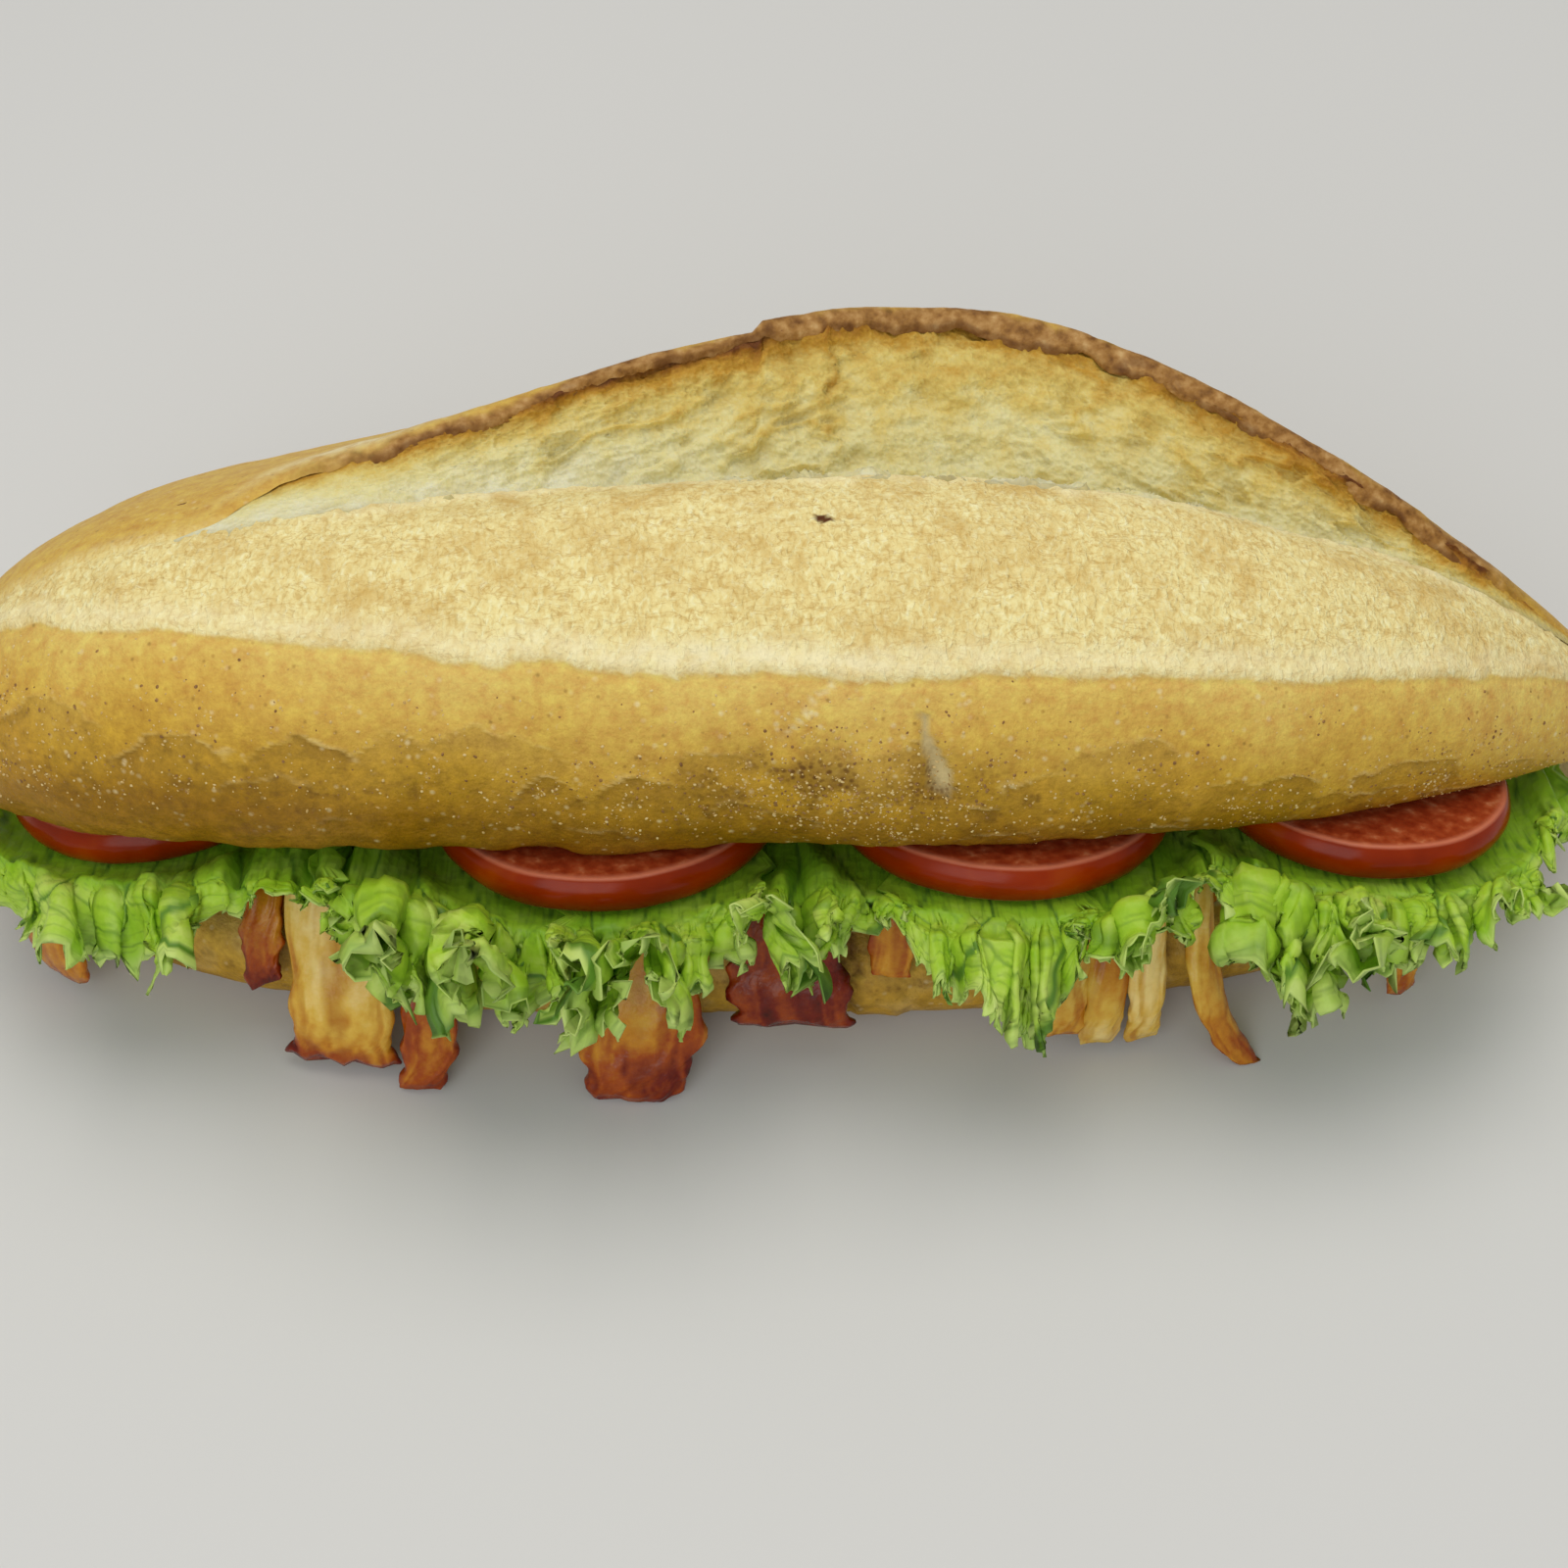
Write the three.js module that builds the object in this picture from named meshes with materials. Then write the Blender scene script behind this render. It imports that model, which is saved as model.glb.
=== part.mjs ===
// A chicken doner sandwich: a long split loaf, closed along its back and open at its front, filled with
// shaved chicken, curly lettuce and tomato slices. Millimetres, +Z up, -Y is the open side that faces the
// viewer, X runs along the loaf. The origin is on the surface it rests on, under the middle of the whole.
import * as THREE from "three";

const { PI, abs, cos, hypot, max, min, pow, sign, sin } = Math;
const degrees = PI / 180;

// ---- Driving dimensions -------------------------------------------------------------------------
// The loaf, measured from its widest place, which is at x = 0. Its left end is blunt, its right pointed.
const LEFT_LENGTH = 177;
const RIGHT_LENGTH = 179;
const LOAF_HALF_DEPTH = 59;
const LEFT_BOW = 3.4; // both tips lie this much further forward than the middle
const RIGHT_BOW = 2;

// The top half. Its cut face slopes, because the filling props it open at the front.
const CUT_HEIGHT = 39.6; // of the cut face over the loaf's middle line
const CUT_SLOPE = 0.262; // rise for each millimetre towards the front
const CUT_END_DROOP = 3; // the cut face sinks this much towards both ends
const CUT_TIP_DROOP = 8; // and this much more at the very tips
const TOP_WAIST = 10.3; // height over the cut face at which the top half is widest
const TOP_RISE_FRONT = 49.4; // crown over that waist, on the front side
const TOP_RISE_BACK = 46.4; // and on the back side
const RISE_CHANGE = { from: 60 * degrees, to: 105 * degrees }; // where the one goes over into the other
const LOWER_EDGE_TUCK = 4; // how far the crust curls in under its widest line

// The score along the crown, which baked open: a dip behind the pale dome, then a torn wall up to a lip.
const SCORE_LEFT = -0.684; // where it starts and ends, as a share of the loaf's length on that side
const SCORE_RIGHT = 0.918;
const SCORE_WIDEST = 0.552; // share of the way from its start to its end where it gapes most
const SCORE_POINTEDNESS = { left: 1.78, right: 1.35 }; // of the two ends it runs out to
const LIP_RISE = 31.3; // of the lip over the unsplit crown, along the radius
const LIP_ANGLE = 56.4 * degrees; // where the lip stands, round the section from the back
const LIP_ANGLE_SHIFT = 32 * degrees; // towards both ends of the score it moves over the crown
const LIP_HOLLOW = 1.6; // how hollow the crust behind the lip is, from 1 for none
const WALL_ANGLE = 17 * degrees; // from the lip down to the bottom of the dip
const DIP_ANGLE = 20 * degrees; // from there to the dome
const DIP_DEPTH = 7.9;
const WALL_STEEPNESS = 0.9; // of the wall's foot, where 1 is an even curve
const WALL_CRAG = { height: 1.1, spacing: 31 }; // lumps of the torn crumb
// The crust tore across here, and its lip stands higher to the right.
const LIP_STEP = { x: -5, height: 2.6, halfWidth: 3, angle: 30 * degrees };

// The bottom half, with a flat base.
const BASE_LEFT_LENGTH = 171;
const BASE_RIGHT_LENGTH = 172;
const BASE_HEIGHT = 25;
const BASE_FLAT_HALF_DEPTH = 46;
const BASE_SIDE = { depth: 15, height: 13 }; // radii of its rounded side
const BASE_SIDE_END = 62 * degrees; // where the side meets the cut
const BASE_TIP_HEIGHT = 19; // of the point that its tips run out to
const BASE_UPTURN = { from: 0.8, to: 0.95 }; // places between which the flat base turns up to the tips
const BASE_CUT_BEVEL = 1; // from the top of its side in to the cut face

// The filling
const GAP = 0.4; // clearance between neighbouring pieces
const TOMATO_THICKNESS = 7.5;
const LEAF_THICKNESS = 0.9;
const BEND_RADIUS = 15; // with which the filling bends down over the front edge of the bottom half
const BEND_INSET = 12.5; // the bend starts this far inside the bottom half's widest line

// ---- Small helpers ------------------------------------------------------------------------------
const clamp01 = (value) => min(1, max(0, value));
const mix = (a, b, share) => a + (b - a) * share;
const smooth = (from, to, value) => {
  const share = clamp01((value - from) / (to - from));
  return share * share * (3 - 2 * share);
};

// Numbers from 0 to 1 that are the same on each run.
function seededRandom(seed) {
  let state = seed * 2654435761;
  return () => {
    state = (state + 0x6d2b79f5) | 0;
    let mixed = Math.imul(state ^ (state >>> 15), 1 | state);
    mixed = (mixed + Math.imul(mixed ^ (mixed >>> 7), 61 | mixed)) ^ mixed;
    return ((mixed ^ (mixed >>> 14)) >>> 0) / 4294967296;
  };
}

// A smooth uneven wave of about -1 to 1, made of three sines whose phases come from the seed.
function wave(seed, wavelength) {
  const random = seededRandom(seed);
  const sines = [1, 1.73, 2.61].map((factor) => ({
    turns: (2 * PI * factor) / wavelength,
    phase: random() * 2 * PI,
    size: 0.62 / factor,
  }));
  return (x) => sines.reduce((sum, one) => sum + one.size * sin(one.turns * x + one.phase), 0);
}

// A closed surface through rings of points, each ring of the same count, with both ends closed by a fan.
function loft(rings) {
  const count = rings[0].length;
  const positions = rings.flat(2);
  const index = [];
  for (let i = 0; i + 1 < rings.length; i++) {
    for (let j = 0; j < count; j++) {
      const next = (j + 1) % count;
      const [a, b, c, d] = [i * count + j, i * count + next, (i + 1) * count + next, (i + 1) * count + j];
      index.push(a, b, c, a, c, d);
    }
  }
  [0, rings.length - 1].forEach((end, side) => {
    const middle = positions.length / 3;
    const ring = rings[end];
    for (let axis = 0; axis < 3; axis++) {
      positions.push(ring.reduce((sum, point) => sum + point[axis], 0) / count);
    }
    for (let j = 0; j < count; j++) {
      const [a, b] = [end * count + j, end * count + ((j + 1) % count)];
      index.push(middle, ...(side === 0 ? [b, a] : [a, b]));
    }
  });
  return indexed(positions, index);
}

function indexed(positions, index) {
  const geometry = new THREE.BufferGeometry();
  geometry.setAttribute("position", new THREE.Float32BufferAttribute(positions, 3));
  geometry.setIndex(index);
  geometry.computeVertexNormals();
  return geometry;
}

// A thin solid round a wavy sheet: grid[i][j] are its points, and both faces are split alike.
function sheetSolid(grid, thickness) {
  const [rows, columns] = [grid.length, grid[0].length];
  const point = (i, j) => new THREE.Vector3(...grid[i][j]);
  const positions = [[], []];
  for (let i = 0; i < rows; i++) {
    for (let j = 0; j < columns; j++) {
      const along = point(min(i + 1, rows - 1), j).sub(point(max(i - 1, 0), j));
      const across = point(i, min(j + 1, columns - 1)).sub(point(i, max(j - 1, 0)));
      const offset = along.cross(across).normalize().multiplyScalar(thickness / 2);
      positions[0].push(...point(i, j).add(offset).toArray());
      positions[1].push(...point(i, j).sub(offset).toArray());
    }
  }
  const under = rows * columns;
  const at = (i, j) => i * columns + j;
  const index = [];
  for (let i = 0; i + 1 < rows; i++) {
    for (let j = 0; j + 1 < columns; j++) {
      const [a, b, c, d] = [at(i, j), at(i + 1, j), at(i + 1, j + 1), at(i, j + 1)];
      index.push(a, b, c, a, c, d);
      index.push(under + a, under + c, under + b, under + a, under + d, under + c);
    }
  }
  const rim = [];
  for (let i = 0; i < rows - 1; i++) rim.push(at(i, 0));
  for (let j = 0; j < columns - 1; j++) rim.push(at(rows - 1, j));
  for (let i = rows - 1; i > 0; i--) rim.push(at(i, columns - 1));
  for (let j = columns - 1; j > 0; j--) rim.push(at(0, j));
  rim.forEach((a, k) => {
    const b = rim[(k + 1) % rim.length];
    index.push(a, under + a, under + b, a, under + b, b);
  });
  return indexed(positions.flat(), index);
}

// ---- The loaf -----------------------------------------------------------------------------------
// A place on the loaf runs from -1 at its left tip through 0 at its widest to 1 at its right tip.
const alongLoaf = (place) => place * (place < 0 ? LEFT_LENGTH : RIGHT_LENGTH);
const placeOnLoaf = (x) => clampTip(x / (x < 0 ? LEFT_LENGTH : RIGHT_LENGTH));
const alongBase = (place) => place * (place < 0 ? BASE_LEFT_LENGTH : BASE_RIGHT_LENGTH);
const placeOnBase = (x) => clampTip(x / (x < 0 ? BASE_LEFT_LENGTH : BASE_RIGHT_LENGTH));
const clampTip = (place) => max(-1, min(1, place));
const bow = (place) => -(place < 0 ? LEFT_BOW : RIGHT_BOW) * place * place;

// From 1 at the widest place to 0 at the tips. Each side has a bluntness and a fullness.
function taper(place, left, right) {
  const [bluntness, fullness] = place < 0 ? left : right;
  return pow(max(0, 1 - pow(abs(place), bluntness)), fullness);
}
const depthTaper = (place) => taper(place, [4.4, 0.58], [2.5, 0.77]);
const heightTaper = (place) => taper(place, [4.3, 0.58], [2.3, 0.69]);
const baseDepthTaper = (place) => taper(place, [3.6, 0.7], [2.4, 0.72]);
const baseHeightTaper = (place) => taper(place, [3, 0.5], [2.4, 0.5]);
const baseTop = (place) => mix(BASE_TIP_HEIGHT, BASE_HEIGHT, baseHeightTaper(place));

// How far the score has opened, from 0 at its ends to 1.
function scoreOpening(place) {
  const share = clamp01((place - SCORE_LEFT) / (SCORE_RIGHT - SCORE_LEFT));
  const onLeft = share < SCORE_WIDEST;
  const half = onLeft ? share / SCORE_WIDEST : (1 - share) / (1 - SCORE_WIDEST);
  return pow(sin((PI / 2) * half), onLeft ? SCORE_POINTEDNESS.left : SCORE_POINTEDNESS.right);
}

const cutDroop = (place) => CUT_END_DROOP * place * place + CUT_TIP_DROOP * pow(place, 12);
// Height of the top half's cut face, at a depth measured from the loaf's own bowed middle line.
const cutFace = (depth, place) => CUT_HEIGHT - CUT_SLOPE * depth - cutDroop(place);

const CROWN_STEPS = { back: 13, wall: 6, front: 17 }; // of the section: up to the lip, its wall, the dome
const lipAngle = (place) => LIP_ANGLE + LIP_ANGLE_SHIFT * (1 - scoreOpening(place));
const wallLumps = wave(11, WALL_CRAG.spacing);

// Radius of the top half's crown round its waist line, at an angle that runs from the back to the front.
function crownRadius(angle, place) {
  const rise = mix(TOP_RISE_BACK, TOP_RISE_FRONT, smooth(RISE_CHANGE.from, RISE_CHANGE.to, angle));
  const plain = 1 / hypot(cos(angle) / LOAF_HALF_DEPTH, sin(angle) / rise);
  const opening = scoreOpening(place);
  const lip = lipAngle(place);
  const bottom = lip + WALL_ANGLE;
  let lift;
  if (angle < lip) {
    lift = LIP_RISE * pow(angle / lip, LIP_HOLLOW);
  } else if (angle < bottom) {
    const down = (angle - lip) / WALL_ANGLE;
    lift = mix(LIP_RISE, -DIP_DEPTH, pow(sin((PI / 2) * down), WALL_STEEPNESS));
    lift += WALL_CRAG.height * sin(PI * down) * wallLumps(alongLoaf(place) + WALL_CRAG.spacing * down);
  } else {
    lift = -DIP_DEPTH * (1 - smooth(bottom, bottom + DIP_ANGLE, angle));
  }
  const torn = smooth(-LIP_STEP.halfWidth, LIP_STEP.halfWidth, LIP_STEP.x - alongLoaf(place));
  const nearLip = smooth(lip - LIP_STEP.angle, lip, angle) * (1 - smooth(lip, bottom, angle));
  return plain + opening * (lift - LIP_STEP.height * torn * nearLip);
}

// Points [y, z over the cut face] of the top half's section, from the back lower edge over the crown to the
// front lower edge. The lip and the foot of the torn wall have a point each, so that they run on unbroken.
function topOutline(place) {
  const lip = lipAngle(place);
  const foot = lip + WALL_ANGLE;
  const crown = (from, to) => {
    const steps = 120;
    return Array.from({ length: steps + 1 }, (_, k) => {
      const angle = mix(from, to, k / steps);
      const radius = crownRadius(angle, place);
      return [radius * cos(angle), TOP_WAIST + radius * sin(angle)];
    });
  };
  const lowerEdge = (side) => {
    const steps = 8;
    return Array.from({ length: steps }, (_, k) => {
      const turn = (PI / 2) * (1 - k / steps);
      return [side * (LOAF_HALF_DEPTH - LOWER_EDGE_TUCK * (1 - cos(turn))), TOP_WAIST * (1 - sin(turn))];
    });
  };
  return [
    ...evenly([...lowerEdge(1), ...crown(0, lip)], CROWN_STEPS.back).slice(0, -1),
    ...evenly(crown(lip, foot), CROWN_STEPS.wall).slice(0, -1),
    ...evenly([...crown(foot, PI), ...lowerEdge(-1).reverse()], CROWN_STEPS.front),
  ];
}

// Picks points along a polyline that split it into even steps.
function evenly(line, steps) {
  const lengths = [0];
  for (let k = 1; k < line.length; k++) {
    lengths.push(lengths[k - 1] + hypot(line[k][0] - line[k - 1][0], line[k][1] - line[k - 1][1]));
  }
  const picked = [];
  let k = 1;
  for (let i = 0; i <= steps; i++) {
    const wanted = (lengths.at(-1) * i) / steps;
    while (k < line.length - 1 && lengths[k] < wanted) k++;
    const share = clamp01((wanted - lengths[k - 1]) / (lengths[k] - lengths[k - 1] || 1));
    picked.push([mix(line[k - 1][0], line[k][0], share), mix(line[k - 1][1], line[k][1], share)]);
  }
  return picked;
}

// Places from -1 to 1 along the loaf, closer together towards the tips.
function stations(count) {
  const crowding = 0.8;
  return Array.from({ length: count }, (_, i) => {
    const even = -1 + (2 * (i + 0.5)) / count;
    return mix(even, sin((PI / 2) * even), crowding);
  });
}

function topHalf() {
  const cutSteps = 6;
  const rings = stations(38).map((place) => {
    const outline = topOutline(place);
    const [back, front] = [outline[0][0], outline.at(-1)[0]];
    for (let k = 1; k < cutSteps; k++) outline.push([mix(front, back, k / cutSteps), 0]);
    return outline.map(([fullDepth, height]) => {
      const depth = fullDepth * depthTaper(place);
      return [alongLoaf(place), depth + bow(place), cutFace(depth, place) + height * heightTaper(place)];
    });
  });
  return loft(rings);
}

const BASE_HALF_DEPTH = BASE_FLAT_HALF_DEPTH + BASE_SIDE.depth;

function bottomHalf() {
  const sideSteps = 8;
  const acrossSteps = 6;
  const outline = [];
  const across = (half, z, towards) => {
    for (let k = 1; k < acrossSteps; k++) outline.push([towards * mix(half, -half, k / acrossSteps), z]);
  };
  const side = (k, direction) => {
    const turn = mix(-PI / 2, BASE_SIDE_END, k / sideSteps);
    const y = BASE_FLAT_HALF_DEPTH + BASE_SIDE.depth * cos(turn);
    return [direction * y, BASE_SIDE.height * (1 + sin(turn))];
  };
  for (let k = 0; k <= sideSteps; k++) outline.push(side(k, 1));
  const topEdge = side(sideSteps, 1);
  across(topEdge[0] - BASE_CUT_BEVEL, BASE_HEIGHT, 1);
  for (let k = sideSteps; k >= 0; k--) outline.push(side(k, -1));
  across(BASE_FLAT_HALF_DEPTH, 0, -1);
  const rings = stations(26).map((place) => {
    const height = baseHeightTaper(place);
    const flatShare = 1 - smooth(BASE_UPTURN.from, BASE_UPTURN.to, abs(place));
    return outline.map(([depth, z]) => {
      const raised = mix(BASE_TIP_HEIGHT, z, height);
      const lowered = z < BASE_TIP_HEIGHT ? mix(raised, z, flatShare) : raised;
      return [alongBase(place), depth * baseDepthTaper(place) + bow(place), lowered];
    });
  });
  return loft(rings);
}

// ---- Where the filling lies ---------------------------------------------------------------------
const MOST_BEND = 84 * degrees;

const floorAt = (x) => baseTop(placeOnBase(x)) + GAP;
const lidAt = (x, y) => cutFace(y - bow(placeOnLoaf(x)), placeOnLoaf(x)) - GAP;
const bendLine = (x) => bow(placeOnBase(x)) - (BASE_HALF_DEPTH - BEND_INSET) * baseDepthTaper(placeOnBase(x));

// A place in the filling is x along the loaf, s along the way out over the front edge and down, and n
// away from the bottom half. s is 0 where the filling starts to bend down, and negative inside.
function inFilling(x, s, n) {
  const y = bendLine(x);
  const floor = floorAt(x);
  if (s < 0) return [x, y - s, floor + n];
  const angle = min(s / BEND_RADIUS, MOST_BEND);
  const beyond = s - angle * BEND_RADIUS;
  return [
    x,
    y - (BEND_RADIUS + n) * sin(angle) - beyond * cos(angle),
    floor - BEND_RADIUS + (BEND_RADIUS + n) * cos(angle) - beyond * sin(angle),
  ];
}

// ---- Tomato -------------------------------------------------------------------------------------
const tomatoTilt = Math.atan(CUT_SLOPE);
const tomatoDrop = (TOMATO_THICKNESS + 2 * GAP) / cos(tomatoTilt); // from the lid to under a slice

// Each lies just under the sloping cut face. Its place is x, and y of its front.
const tomatoes = [
  { name: "tomato_slice_1", x: -127, front: -50, radius: 29 },
  { name: "tomato_slice_2", x: -35, front: -68, radius: 35 },
  { name: "tomato_slice_3", x: 43, front: -65, radius: 35 },
  { name: "tomato_slice_4", x: 115, front: -56, radius: 31 },
];

function tomatoSlice(radius) {
  const half = TOMATO_THICKNESS / 2;
  const roundSteps = 4;
  const bulge = 1.6; // of the skin between the two cut faces
  const profile = [new THREE.Vector2(0, -half)];
  for (let k = 0; k <= roundSteps; k++) {
    const share = mix(-1, 1, k / roundSteps);
    profile.push(new THREE.Vector2(radius - bulge * share * share, half * share));
  }
  profile.push(new THREE.Vector2(0, half));
  return new THREE.LatheGeometry(profile, 26).rotateX(PI / 2);
}

// A slice touches the lid at its left and right sides, so it also leans along with the lid's droop.
function topOfSlice({ x: middle, radius }, x, y) {
  const [left, right] = [lidAt(middle - radius, y), lidAt(middle + radius, y)];
  return mix(left, right, (x - middle + radius) / (2 * radius));
}

function layTomato(mesh, slice) {
  const { x, front, radius } = slice;
  const y = front + radius * cos(tomatoTilt);
  const rise = topOfSlice(slice, x + radius, y) - topOfSlice(slice, x - radius, y);
  mesh.rotation.set(-tomatoTilt, -Math.atan(rise / (2 * radius)), 0);
  mesh.position.set(x, y, topOfSlice(slice, x, y) - (TOMATO_THICKNESS / 2 + GAP) / cos(tomatoTilt));
}

// Height of the surface that chicken and lettuce lie under: the slices, and the same plane between them.
function undersideAt(x, y) {
  const margin = 4; // beside a slice
  const near = tomatoes.filter((slice) => abs(x - slice.x) < slice.radius + margin);
  return min(lidAt(x, y), ...near.map((slice) => topOfSlice(slice, x, y))) - tomatoDrop;
}

// Foremost y of bread and tomato near an x, so that what hangs in front of them can stay clear.
function foremost(x) {
  const sideways = 5;
  const near = [x - sideways, x, x + sideways];
  const fronts = near.map(placeOnLoaf).map((place) => bow(place) - LOAF_HALF_DEPTH * depthTaper(place));
  for (const slice of tomatoes) {
    for (const at of near) {
      const aside = abs(at - slice.x) / slice.radius;
      const middle = slice.front + slice.radius * cos(tomatoTilt);
      if (aside < 1) fronts.push(middle - slice.radius * Math.sqrt(1 - aside * aside) * cos(tomatoTilt));
    }
  }
  return min(...fronts);
}

// ---- Chicken ------------------------------------------------------------------------------------
const PIECE_ROOM = 5.6; // height kept over the bed for the pieces that lie on it and hang out
const PIECE_ROOTS = { from: -14, to: -24 }; // y over which that room opens towards the front
const LEAF_ROOM = 2.4; // height kept over those for the lettuce
const TABLE_GAP = 0.5; // between the tips that hang lowest and the surface under the sandwich
const BED_HALF_LENGTH = 157;
const BED_HEIGHT = { least: 0.8, most: 10.5 };
const BED_LIFT = 0.3; // of its underside over the filling's floor
const BED_BACK = 50; // y of its back edge in the middle of the loaf
const BED_FRONT = 3; // s of its front edge
const BED_END_WIDTH = 0.08; // share of its full width that its ends keep
const BEHIND_TOMATO = { from: 6, to: 14 }; // y over which the bed rises behind the slices

// Height of the bed of chicken over the filling's floor.
function bedHeight(x, y) {
  const behindTomato = lidAt(x, y) - floorAt(x) - GAP;
  const pieceRoom = PIECE_ROOM * (1 - smooth(PIECE_ROOTS.to, PIECE_ROOTS.from, y));
  const underTomato = undersideAt(x, y) - floorAt(x) - LEAF_ROOM - pieceRoom;
  const height = mix(underTomato, behindTomato, smooth(BEHIND_TOMATO.from, BEHIND_TOMATO.to, y));
  return max(BED_HEIGHT.least, min(height, BED_HEIGHT.most));
}

function chickenBed() {
  const lumps = [wave(31, 23), wave(32, 13)];
  const topSteps = 11;
  const rings = [];
  const count = 27;
  for (let i = 0; i < count; i++) {
    const along = mix(-1, 1, i / (count - 1));
    const x = BED_HALF_LENGTH * along;
    const narrow = mix(BED_END_WIDTH, 1, pow(1 - pow(abs(along), 6), 0.5));
    const back = (bendLine(x) - bow(placeOnBase(x)) - BED_BACK * baseDepthTaper(placeOnBase(x))) * narrow;
    const front = BED_FRONT + 1.5 * lumps[0](x);
    const top = [];
    const under = [];
    for (let k = 0; k <= topSteps; k++) {
      const share = k / topSteps;
      const s = mix(back, front, share);
      const y = bendLine(x) - s;
      const edge = pow(clamp01(1 - pow(abs(2 * share - 1), 8)), 0.5);
      const lump = 0.9 + 0.1 * lumps[1](x + 2.3 * s) + 0.05 * lumps[0](s * 2 - x);
      top.push([s, BED_LIFT + bedHeight(x, y) * edge * narrow * min(1, lump)]);
      if (k > 0 && k < topSteps && k % 2 === 0) under.unshift([s, 0]);
    }
    rings.push([...top, ...under].map(([s, n]) => inFilling(x, s, n)));
  }
  return loft(rings);
}

// Height of what the hanging pieces lie on: the bed, and past its front edge the side of the bottom half.
function support(x, s) {
  const clearance = 0.6;
  const overBed = bedHeight(x, bendLine(x) - min(s, 0)) + clearance;
  return mix(overBed, clearance, smooth(BED_FRONT - 2, BED_FRONT + 10, s));
}

// A flat, uneven piece of shaved chicken. Its stops, from inside the sandwich to its hanging end, are
// [x, s, height over what it lies on, half width, half thickness].
function chickenPiece({ stops, seed, raggedness = 0.13, ringPoints = 8, rings = 12 }) {
  const lumps = [wave(seed, 1.9), wave(seed + 1, 2.7), wave(seed + 2, 1.3)];
  const curveOf = (pick) => new THREE.CatmullRomCurve3(stops.map((stop) => new THREE.Vector3(...pick(stop))));
  const middle = curveOf(([x, s, lift]) => [x, s, lift]);
  const size = curveOf(([, , , width, thickness]) => [width, thickness, 0]);
  const sections = [];
  for (let i = 0; i < rings; i++) {
    const t = i / (rings - 1);
    const { x, y: s, z: lift } = middle.getPoint(t);
    const { x: width, y: thickness } = size.getPoint(t);
    const base = support(x, s) + lift + thickness;
    const ring = [];
    for (let j = 0; j < ringPoints; j++) {
      const turn = (2 * PI * j) / ringPoints;
      const [c, d] = [cos(turn), sin(turn)];
      const ragged = 1 + raggedness * lumps[0](9 * t + 2 * c) + 0.5 * raggedness * lumps[1](17 * t - c);
      const uneven = 1 + 0.7 * raggedness * lumps[2](8 * t + 3 * c);
      const across = width * sign(c) * pow(abs(c), 0.7) * ragged;
      const over = thickness * sign(d) * pow(abs(d), 0.8) * uneven;
      const [, y, z] = inFilling(x + across, s, base + over);
      ring.push([x + across, y, max(z, TABLE_GAP)]);
    }
    sections.push(ring);
  }
  return loft(sections);
}

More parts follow.
